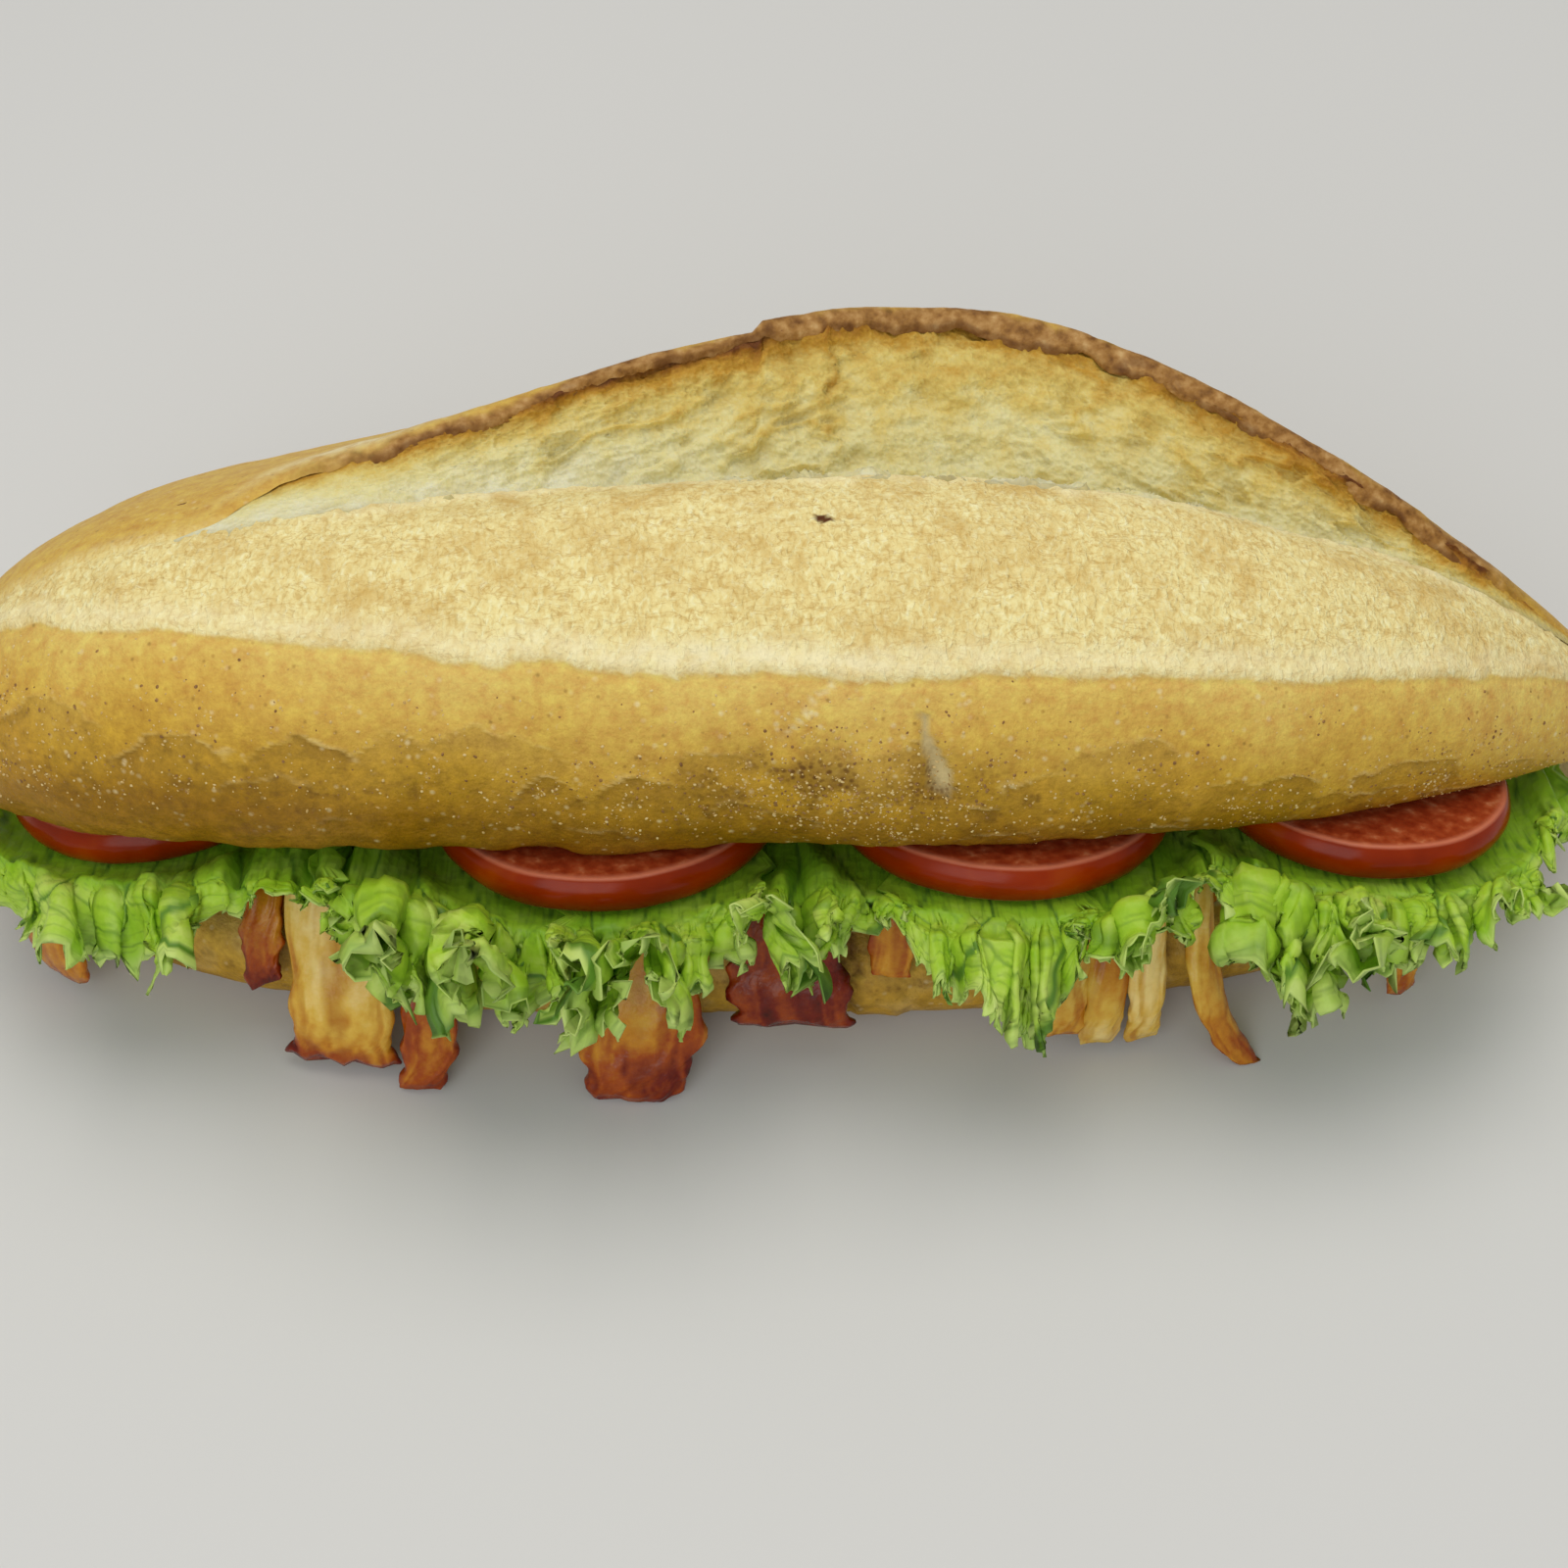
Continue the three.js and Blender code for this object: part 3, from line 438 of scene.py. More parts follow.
def add_node(tree, kind, inputs=None, output=0, stops=None, **settings):
    """Adds a node with its settings, links or sets its inputs, and returns one of its outputs."""
    node = tree.nodes.new(kind)
    for key, value in settings.items():
        setattr(node, key, value)
    if stops:
        elements = node.color_ramp.elements
        elements.remove(elements[-1])
        for number, (place, colour) in enumerate(stops):
            element = elements[0] if number == 0 else elements.new(place)
            element.position = place
            element.color = linear(colour)
    for key, value in (inputs or {}).items():
        socket = node.inputs[key]
        if isinstance(value, bpy.types.NodeSocket):
            tree.links.new(value, socket)
        elif isinstance(value, str):
            socket.default_value = linear(value)
        elif socket.type == "RGBA":
            socket.default_value = list(value)[:3] + [1.0]
        else:
            socket.default_value = value
    return node.outputs[output]


def new_material(name, *painted):
    """A material, what adds its nodes, the place in it, and the values painted on its mesh."""
    material = bpy.data.materials.new(name)
    material.use_nodes = True
    material.node_tree.nodes.clear()
    add = partial(add_node, material.node_tree)
    place = add("ShaderNodeTexCoord", output="Object")
    values = [add("ShaderNodeAttribute", output="Fac", attribute_name=key) for key in painted]
    return [material, add, place] + values


def finish_material(material, surface):
    tree = material.node_tree
    output = tree.nodes.new("ShaderNodeOutputMaterial")
    tree.links.new(surface, output.inputs["Surface"])
    return material


def per_mm(size):
    """The scale of a pattern whose features are this many millimetres across."""
    return 1000.0 / size


def baked_crust(settings):
    """Wheat crust, floured and oven baked: matte, felt-like where it split late, browner elsewhere."""
    painted = ("pale", "flour", "drop", "patch", "bran", "char", "crumb", "toast")
    material, add, place, pale, flour_and_highlight, drop, patch, branny, char, crumb, toast = new_material(
        "baked wheat crust", *painted
    )

    # The oven colours it in soft clouds about 2 cm across, and it darkens towards its lower edge.
    # That darkening is partly browning and partly painted shade where the crust turns down, away from the
    # light.
    browning_and_shade = [(0.0, "#dfbf66"), (0.25, "#d8b14f"), (0.5, "#c69b2c"), (0.75, "#ac8014"), (1.0, "#926704")]
    golden = add(RAMP, {"Fac": drop}, stops=browning_and_shade)
    clouds = add(NOISE, {"Vector": place, "Scale": per_mm(20), "Detail": 4.0})
    clouds = add(RANGE, {0: clouds, FROM_LOW: 0.4, FROM_HIGH: 0.7, TO_HIGH: 0.3})
    # Fine brown pores, and flour baked into the skin as soft whitish dots about 1 mm across.
    pores = add(CELLS, {"Vector": place, "Scale": per_mm(3.5)}, "Distance")
    pores = add(RANGE, {0: pores, FROM_LOW: 0.15, FROM_HIGH: 0.05, TO_HIGH: 0.5})
    dots = add(CELLS, {"Vector": place, "Scale": per_mm(2.4)}, "Distance")
    dots = add(RANGE, {0: dots, FROM_LOW: 0.3, FROM_HIGH: 0.1})
    dotted = add(NOISE, {"Vector": place, "Scale": per_mm(5), "Detail": 2.0})
    dotted = add(RANGE, {0: dotted, FROM_LOW: 0.52, FROM_HIGH: 0.64, TO_HIGH: 0.55})
    dots = add(MATH, {0: dots, 1: dotted}, operation="MULTIPLY")
    # The scales' patches are painted shade under their upper edges.
    layers = ((clouds, "#c9963c"), (patch, settings.scale_colour), (dots, "#ecd9a4"), (pores, "#8a5f20"))
    for share, over in layers:
        golden = add(MIX, {FACTOR: share, MIX_A: golden, MIX_B: over}, **COLOURS)
    mottles = add(NOISE, {"Vector": place, "Scale": per_mm(3), "Detail": 6.0, "Roughness": 0.75})
    golden = add(MIX, {FACTOR: 0.75, MIX_A: golden, MIX_B: mottles}, blend_type="OVERLAY", **COLOURS)

    # The crown that split late: a felt of fine torn fibres running over the crown, toasted in patches.
    strokes = add(STRETCH, {"Vector": place, "Scale": (per_mm(1.1), per_mm(1.9), per_mm(1.9))})
    fibres = add(NOISE, {"Vector": strokes, "Scale": 1.0, "Detail": 4.0, "Distortion": 0.8})
    felt_colours = [(0.3, "#dcc078"), (0.45, "#efdb95"), (0.58, "#f6e8a6"), (0.72, "#fbf4c0")]
    felt = add(RAMP, {"Fac": fibres}, stops=felt_colours)
    uneven = {"Vector": place, "Scale": per_mm(15), "Detail": 7.0, "Roughness": 0.72, "Distortion": 0.6}
    toasting = add(RANGE, {0: add(NOISE, uneven), FROM_LOW: 0.47, FROM_HIGH: 0.66, TO_HIGH: 0.7})
    # Fine creases run along it, where a wandering noise passes its middle.
    creases = add(STRETCH, {"Vector": place, "Scale": (per_mm(8), per_mm(3), per_mm(3))})
    creases = add(NOISE, {"Vector": creases, "Scale": 1.0, "Detail": 5.0, "Distortion": 1.2})
    creases = add(MATH, {0: creases, 1: 0.5}, operation="SUBTRACT")
    creases = add(MATH, {0: creases}, operation="ABSOLUTE")
    creases = add(RANGE, {0: creases, FROM_LOW: 0.022, FROM_HIGH: 0.0, TO_HIGH: 0.5})
    for share, over in ((toasting, settings.toasted_colour), (creases, "#c19548")):
        felt = add(MIX, {FACTOR: share, MIX_A: felt, MIX_B: over}, **COLOURS)

    # Loose flour, the brown of the thin lip, open crumb, bran and burnt edges lie over that.
    flour = add(NOISE, {"Vector": place, "Scale": per_mm(3), "Detail": 4.0})
    flour = add(RANGE, {0: flour, FROM_LOW: 0.3, FROM_HIGH: 0.58, TO_LOW: 0.35})
    # The flour value also carries a painted highlight along the scales' upper edges.
    flour = add(MATH, {0: flour_and_highlight, 1: flour}, operation="MULTIPLY")
    lip_colours = [(0.3, "#6c4114"), (0.48, "#9a6c33"), (0.62, "#b4884f"), (0.75, "#c9a46c")]
    lip = add(NOISE, {"Vector": place, "Scale": per_mm(2.5), "Detail": 5.0})
    lip = add(RAMP, {"Fac": lip}, stops=lip_colours)
    bran = add(CELLS, {"Vector": place, "Scale": per_mm(1.2)}, "Distance")
    bran = add(RANGE, {0: bran, FROM_LOW: 0.55, FROM_HIGH: 0.25, TO_LOW: 0.5})
    bran = add(MATH, {0: branny, 1: bran}, operation="MULTIPLY")
    colour = golden
    layers = (
        (pale, felt), (flour, settings.flour_colour), (toast, lip), (crumb, settings.crumb_colour),
        (bran, settings.bran_colour), (char, settings.burnt_colour),
    )
    for share, over in layers:
        colour = add(MIX, {FACTOR: share, MIX_A: colour, MIX_B: over}, **COLOURS)

    # The felt stands up about 0.5 mm, elsewhere the skin has only a fine grain.
    felt_height = add(BUMP, {"Height": fibres, "Distance": 0.0005, "Strength": pale})
    grain = add(NOISE, {"Vector": place, "Scale": per_mm(0.8), "Detail": 3.0})
    normal = add(BUMP, {"Height": grain, "Distance": 0.0004, "Strength": 0.8, "Normal": felt_height})
    roughness = add(RANGE, {0: pale, TO_LOW: 0.5, TO_HIGH: 0.8})
    look = {"Base Color": colour, "Roughness": roughness, "Normal": normal, "Specular IOR Level": 0.2}
    return finish_material(material, add(SURFACE, look))


def torn_crumb(settings):
    """White wheat crumb torn open in the oven: soft and pale inside, drying to gold and brown at the lip."""
    material, add, place, toast, hollow = new_material("torn wheat crumb", "toast", "hollow")
    uneven = add(NOISE, {"Vector": place, "Scale": per_mm(5), "Detail": 5.0, "Roughness": 0.65})
    offset = add(RANGE, {0: uneven, FROM_LOW: 0.3, FROM_HIGH: 0.7, TO_LOW: -0.13, TO_HIGH: 0.13})
    toast = add(MATH, {0: toast, 1: offset}, operation="ADD", use_clamp=True)
    dry_colours = [
        (0.0, "#e6e3c0"), (0.25, "#e2d99c"), (0.45, "#d9c26c"), (0.65, "#c0922f"), (0.85, "#9e6917"),
        (1.0, "#6a3a0e"),
    ]
    colour = add(RAMP, {"Fac": toast}, stops=dry_colours)
    # Painted shade darkens the crumb's pits and the foot of the wall.
    shade = {FACTOR: hollow, MIX_A: colour, MIX_B: settings.crumb_hollow_colour}
    colour = add(MIX, shade, blend_type="MULTIPLY", **COLOURS)
    # Cell walls about 1 mm apart give it a fine sheeny grain.
    walls = add(CELLS, {"Vector": place, "Scale": per_mm(1.1)}, "Distance")
    normal = add(BUMP, {"Height": walls, "Distance": 0.0005, "Strength": 0.7})
    look = {
        "Base Color": colour, "Roughness": 0.7, "Normal": normal, "Specular IOR Level": 0.3,
        "Subsurface Weight": 0.25, "Subsurface Radius": (0.0016, 0.0013, 0.0008), "Subsurface Scale": 1.0,
    }
    return finish_material(material, add(SURFACE, look))


def ripe_tomato(settings):
    """Sliced ripe tomato: a taut glossy skin round moist, slightly grainy flesh that lets light in."""
    material, add, place, skin, rim = new_material("ripe tomato", "skin", "rim")
    flesh_colours = [(0.3, "#8a2c12"), (0.5, "#a0401e"), (0.62, "#b25630"), (0.75, "#ca8058")]
    grain = add(NOISE, {"Vector": place, "Scale": per_mm(2.5), "Detail": 5.0})
    colour = add(RAMP, {"Fac": grain}, stops=flesh_colours)
    streaks = add(NOISE, {"Vector": place, "Scale": per_mm(14), "Detail": 3.0})
    peel = add(RAMP, {"Fac": streaks}, stops=[(0.3, "#7c2000"), (0.55, "#942c00"), (0.75, "#a84400")])
    # The rim is a light line along the cut skin, partly paler flesh and partly a painted highlight.
    for share, over in ((skin, peel), (rim, settings.rim_colour)):
        colour = add(MIX, {FACTOR: share, MIX_A: colour, MIX_B: over}, **COLOURS)
    roughness = add(RANGE, {0: skin, TO_LOW: 0.34, TO_HIGH: 0.2})
    wet = add(CELLS, {"Vector": place, "Scale": per_mm(1.6)}, "Distance")
    relief = add(RANGE, {0: skin, TO_LOW: 0.4, TO_HIGH: 0.0})
    normal = add(BUMP, {"Height": wet, "Distance": 0.0003, "Strength": relief})
    look = {
        "Base Color": colour, "Roughness": roughness, "Normal": normal, "IOR": 1.36,
        "Specular IOR Level": 0.28,
        "Subsurface Weight": 0.08, "Subsurface Radius": (0.003, 0.0008, 0.0004), "Subsurface Scale": 1.0,
    }
    return finish_material(material, add(SURFACE, look))


def curly_lettuce(settings):
    """Crisp curly lettuce: thin, slightly waxy, light comes through, paler at the frilled margin."""
    material, add, place, margin, vein, deep = new_material("curly lettuce leaf", "margin", "vein", "deep")
    clouds = add(NOISE, {"Vector": place, "Scale": per_mm(9), "Detail": 5.0, "Roughness": 0.6})
    leaf = add(RAMP, {"Fac": clouds}, stops=[(0.3, "#a2d424"), (0.5, "#c0e642"), (0.68, "#dcf27a")])
    # Painted shade near the root and in patches, then the paler margin and the darker veins.
    layers = ((deep, settings.leaf_shade_colour), (margin, settings.margin_colour), (vein, settings.vein_colour))
    for share, over in layers:
        leaf = add(MIX, {FACTOR: share, MIX_A: leaf, MIX_B: over}, **COLOURS)
    blisters = add(CELLS, {"Vector": place, "Scale": per_mm(2.2)}, "Distance")
    normal = add(BUMP, {"Height": blisters, "Distance": 0.0004, "Strength": 0.5})
    look = {"Base Color": leaf, "Roughness": 0.38, "Normal": normal, "IOR": 1.42, "Specular IOR Level": 0.45}
    through = add("ShaderNodeBsdfTranslucent", {"Color": leaf, "Normal": normal})
    share_through = 0.28
    both = add("ShaderNodeMixShader", {0: share_through, 1: add(SURFACE, look), 2: through})
    return finish_material(material, both)


def roast_chicken(settings):
    """Chicken shaved off a turning spit: moist fibres, golden, charred red-brown where it faced the fire."""
    material, add, place, brown, fibre = new_material("roast chicken", "brown", "fibre")
    spots = add(NOISE, {"Vector": place, "Scale": per_mm(4.5), "Detail": 6.0, "Roughness": 0.65})
    offset = add(RANGE, {0: spots, FROM_LOW: 0.3, FROM_HIGH: 0.7, TO_LOW: -0.1, TO_HIGH: 0.1})
    brown = add(MATH, {0: brown, 1: offset}, operation="ADD", use_clamp=True)
    roast_colours = [
        (0.0, "#f0d384"), (0.2, "#e0b648"), (0.4, "#cc8a20"), (0.6, "#a84c0c"), (0.8, "#741c04"),
        (1.0, "#2e0c04"),
    ]
    colour = add(RAMP, {"Fac": brown}, stops=roast_colours)
    # Painted shade in the grooves between fibres and shreds.
    shade = {FACTOR: fibre, MIX_A: colour, MIX_B: settings.groove_colour}
    colour = add(MIX, shade, blend_type="MULTIPLY", **COLOURS)
    fine = add(NOISE, {"Vector": place, "Scale": per_mm(1.2), "Detail": 4.0})
    normal = add(BUMP, {"Height": fine, "Distance": 0.0005, "Strength": 0.4})
    roughness = add(RANGE, {0: spots, TO_LOW: 0.12, TO_HIGH: 0.34})
    look = {
        "Base Color": colour, "Roughness": roughness, "Normal": normal, "IOR": 1.4, "Specular IOR Level": 0.4,
        "Subsurface Weight": 0.15, "Subsurface Radius": (0.003, 0.0015, 0.0006), "Subsurface Scale": 1.0,
    }
    return finish_material(material, add(SURFACE, look))


def grain_material(name, colour, light, size):
    """Hard wheat grains, milled and baked on: dull, each a little lighter or darker than the next."""
    material, add, place = new_material(name)
    tone = add(CELLS, {"Vector": place, "Scale": per_mm(size)}, "Color")
    share = add("ShaderNodeSeparateColor", {0: tone})
    mixed = add(MIX, {FACTOR: share, MIX_A: colour, MIX_B: light}, **COLOURS)
    look = {"Base Color": mixed, "Roughness": 0.45, "Specular IOR Level": 0.4}
    return finish_material(material, add(SURFACE, look))


def plain_floor(settings):
    """Matte painted board: even, with the faintest unevenness of its paint."""
    material, add, place = new_material("matte painted board")
    paint = add(NOISE, {"Vector": place, "Scale": per_mm(1.5), "Detail": 2.0})
    normal = add(BUMP, {"Height": paint, "Distance": 0.00005, "Strength": 0.2})
    look = {
        "Base Color": settings.floor_colour, "Roughness": 0.7, "Normal": normal, "Specular IOR Level": 0.2,
    }
    return finish_material(material, add(SURFACE, look))


# ---- Top of the loaf --------------------------------------------------------------------------------
DOME_STEPS = 260  # points of the dense lines that are split into even rows
EDGE_STEPS = 26
BEHIND_LIP_STEPS = 240
BEFORE_LIP_STEPS = 120
WALL_STEPS = 300
CROWN_COLUMNS = 460
DOME_ROWS = 186
CUT_ROWS = 14
BACK_ROWS = 96
CRUMB_COLUMNS = 500
CRUMB_ROWS = 110
FRONT_HEIGHT = 41  # mm of golden crust under the pale dome, in the middle

# Scale-like patches of the front crust, where its skin cracked and slid in the oven. Each is x, the distance
# of its round upper edge below the pale dome, half its width, and how strongly it shows.
# Each scale is painted darker just under its upper edge, as the shade of the step, with a painted highlight
# along that edge.
SCALES = (
    (-147, 26, 10, 0.7), (-134, 25, 9, 0.8), (-120, 31, 8, 1.0), (-103, 33, 11, 1.0), (-86, 18, 12, 0.9),
    (-82, 37, 6, 0.8), (-72, 30, 7, 0.5), (-61, 24, 11, 1.0), (-51, 13, 12, 0.45), (-41, 24, 11, 0.9),
    (-25, 19, 9, 0.8), (-12, 14, 7, 0.45), (-9, 27, 9, 0.6), (1, 30, 8, 0.8), (12, 31, 7, 0.6),
    (32, 25, 9, 1.0), (48, 17, 10, 0.6), (53, 30, 9, 0.8), (67, 22, 9, 0.9), (79, 31, 8, 0.7),
    (91, 18, 11, 0.8), (104, 29, 9, 0.7), (119, 16, 11, 0.7), (133, 25, 9, 0.6), (146, 17, 8, 0.4),
    (-138, 14, 12, 0.5), (-112, 20, 12, 0.75), (-95, 27, 8, 0.8), (-70, 16, 9, 0.5), (-33, 31, 8, 0.9),
    (20, 14, 11, 0.5), (40, 33, 8, 0.8), (62, 12, 12, 0.45), (72, 34, 9, 0.8), (110, 22, 10, 0.7),
)


def scale_pattern(x, below):
    """How far each point lies in a scale: 1 just under its upper edge, fading below; and the edge itself."""
    flat = flat_points(x, below)
    wobble_x = x + layered(flat, 300, (2.4, 13), (1.2, 5), (0.5, 1.7))
    wobble_y = below + layered(flat, 303, (2.2, 11), (1.0, 4), (0.4, 1.4))
    broken = 0.35 + 0.65 * smooth(-0.35, 0.3, noise(flat, 6, 306))
    inside = np.zeros_like(x)
    edge = np.zeros_like(x)
    for middle, top, half_width, strength in SCALES:
        aside = np.abs(wobble_x - middle) / (1.15 * half_width)
        arc = 0.8 * half_width * (1 - np.sqrt(np.clip(1 - aside**2, 0, 1)))
        depth = wobble_y - top - arc  # mm under the round upper edge
        within = smooth(1, 0.72, aside) * strength
        shade = within * smooth(-0.15, 0.3, depth) * (0.25 + 0.75 * np.exp(-np.maximum(depth, 0) / 6))
        covers = (depth > 0) & (aside < 1)
        inside = np.where(covers, np.maximum(0.5 * inside, shade), np.maximum(inside, shade))
        edge = np.where(covers, edge * smooth(3, 0, depth), edge)
        edge = np.maximum(edge, within * broken * bump_at(depth, -0.3, 0.35))
    return inside * mix(0.55, 1, broken), edge


def torn_hole(x, below):
    """The short open tear in the front crust, right of the middle, as 1 inside it."""
    middle = 25 + 0.27 * (below - 6.5) + 0.5 * noise(flat_points(x, below), 3, 311)
    half_width = mix(0.8, 2.2, smooth(9, 19, below)) * smooth(5, 8, below) * (1 - smooth(21, 24, below))
    ragged = 0.35 * noise(flat_points(x, below), 1.2, 312)
    return smooth(0.3, -0.3, np.abs(x - middle) - half_width + ragged) * (half_width > 0.1)


def thin_crack(x, below):
    """A pale hairline crack that leaves the dome's edge near the middle and runs down to the left."""
    middle = 9 - 0.75 * below + 0.5 * np.sin(below) + 0.3 * noise(flat_points(below, x), 1.5, 313)
    return bump_at(x, middle, 0.45) * smooth(13, 10, below) * smooth(-1.5, 0, below)


def seed_speck(x, below):
    """The one dark seed that sticks to the dome."""
    flat = flat_points(x, below)
    size = 1.5 * (1 + 0.2 * noise(flat, 1.6, 316))
    return smooth(1.15, 0.85, np.hypot(x - 7.3, 1.2 * (below + 33)) / size)


def front_of_crown(material):
    """The pale dome, the golden front crust with its lower edge, and the cut face underneath."""
    places = crowded_places(CROWN_COLUMNS)
    opening = score_opening(places)
    line = flat_points(places * sided(places, LOAF_LENGTH))
    ragged = layered(line, 321, (2.0, 9), (1.2, 3), (0.7, 1.2)) / 55  # as an angle round the crown
    start = dome_edge(places) + ragged * smooth(0.03, 0.2, opening)
    angle = mix(start[:, None], pi, np.linspace(0, 1, DOME_STEPS)[None, :])
    turn = np.linspace(0, pi / 2, EDGE_STEPS)[None, 1:]
    edge_place = in_columns(places, (len(places), turn.shape[1]))
    dome = crown(in_columns(places, angle.shape), angle)
    lines = np.concatenate([dome, lower_edge(edge_place, turn, -1)], axis=1)
    turns = np.concatenate([angle, np.broadcast_to(pi + turn, edge_place.shape)], axis=1)
    grid, angle = even_rows(lines, turns, DOME_ROWS)
    place = in_columns(places, angle.shape)
    along = along_rows(grid)
    border = np.array([np.interp(*numbers) for numbers in zip(pale_edge(places), angle, along)])
    # The edge of the dome wavers by about 1 mm.
    border = border - layered(line, 331, (0.9, 14), (0.5, 4), (0.3, 1.3))
    below = along - border[:, None]
    x = grid[..., 0]
    opened = opening[:, None]
    soft_end = mix(0.12, 0.01, smooth(0.0, 0.1, opened))
    pale = smooth(-soft_end, soft_end, angle - dome_edge(place) + 0.02) * smooth(0.35, -0.35, below)
    size = np.minimum(1, taper(place, DEPTH_TAPER) * 1.4)

    scales, scale_edge = scale_pattern(x, below)
    hole = torn_hole(x, below)
    crack = thin_crack(x, below)
    stroke = flat_points(x, 0.4 * along)
    felt = 0.22 * rough(stroke, 1.7, 341, 3) + 0.16 * noise(stroke, 0.9, 342)
    flakes = cells(flat_points(x + 0.3 * along, 0.55 * along), 3.4, 343)
    felt = felt + 0.28 * (flakes[2] - 0.5) * smooth(0.0, 0.16, flakes[1] - flakes[0])
    lumps = 0.55 * rough(grid, 24, 344, 2) + 0.22 * rough(grid, 7, 345, 2)
    skin = 0.1 * rough(grid, 2.2, 346, 3) - 0.42 * scales + 0.32 * scale_edge
    ridge = 0.45 * bump_at(below, -1.6, 1.6) - 0.35 * bump_at(below, 0.7, 0.8)
    # The dome's back edge tucks in where it was torn off, and less where the score is shut.
    torn_start = smooth(0.05, 0.3, opened)
    tucked = (0.5 * bump_at(along, 2.2, 1.8) - 2.2 * (1 - smooth(0, 1.3, along))) * torn_start
    tucked = tucked - 0.4 * smooth(3, 0, along) * (1 - torn_start)
    near_low = smooth(FRONT_HEIGHT - 16, FRONT_HEIGHT - 3, below)
    bulge = 1.3 * bump_at(x, -34, 10) + layered(grid, 347, (0.5, 9), (0.25, 2.6))
    relief = lumps * size + mix(skin, felt, pale) + ridge * size + tucked
    relief = relief - 1.3 * hole - 0.35 * crack + near_low * bulge * size
    grid = grid + relief[..., None] * outward(grid, CROWN_MIDDLE)

    flour = bump_at(below, -3.2, 3) * (0.5 + 0.5 * bump_at(x, -8, 34)) * size
    flour = flour + 0.6 * bump_at(along, 2, 2.5) * torn_start
    bran = 1.3 * bump_at(x, 10, 27) * bump_at(below, 21, 7) * smooth(-0.5, 0.2, noise(grid, 5, 351))
    bran = bran + 0.5 * smooth(0.35, 0.6, noise(grid, 1.6, 352) * smooth(10, 30, below))
    # Darker down to the lower edge: partly browning, partly painted shade where the crust turns under.
    drop = np.clip(below / FRONT_HEIGHT, 0, 1) + 0.3 * near_low + 0.08 * noise(grid, 15, 353)
    values = {
        "pale": pale,
        # The flour colour also paints a highlight along the scales' upper edges.
        "flour": np.clip(flour * pale + 0.28 * scale_edge + 0.6 * crack, 0, 1),
        "drop": np.clip(drop, 0, 1),
        # Painted shade just under the scales' upper edges.
        "patch": np.clip(0.8 * scales, 0, 1),
        "bran": np.clip(bran, 0, 1) * (1 - pale),
        "char": np.clip(seed_speck(x, below), 0, 1),
        "crumb": np.clip(hole, 0, 1),
    }
    # The cut face is crumb all over.
    depths = np.linspace(-1, 1, CUT_ROWS + 1)[None, 1:] * (LOAF_HALF_DEPTH - LOWER_EDGE_TUCK)
    cut_place = in_columns(places, (len(places), CUT_ROWS))
    cut = on_loaf(cut_place, np.broadcast_to(depths, cut_place.shape), np.zeros(cut_place.shape))
    for key, numbers in values.items():
        values[key] = np.concatenate([numbers, np.full(cut_place.shape, float(key == "crumb"))], axis=1)
    closed = np.concatenate([grid, cut], axis=1)
    faces = grid_faces(*closed.shape[:2])
    make_piece("crown_front", closed, faces, material, ["bread_top"], values)
    return grid, below, pale


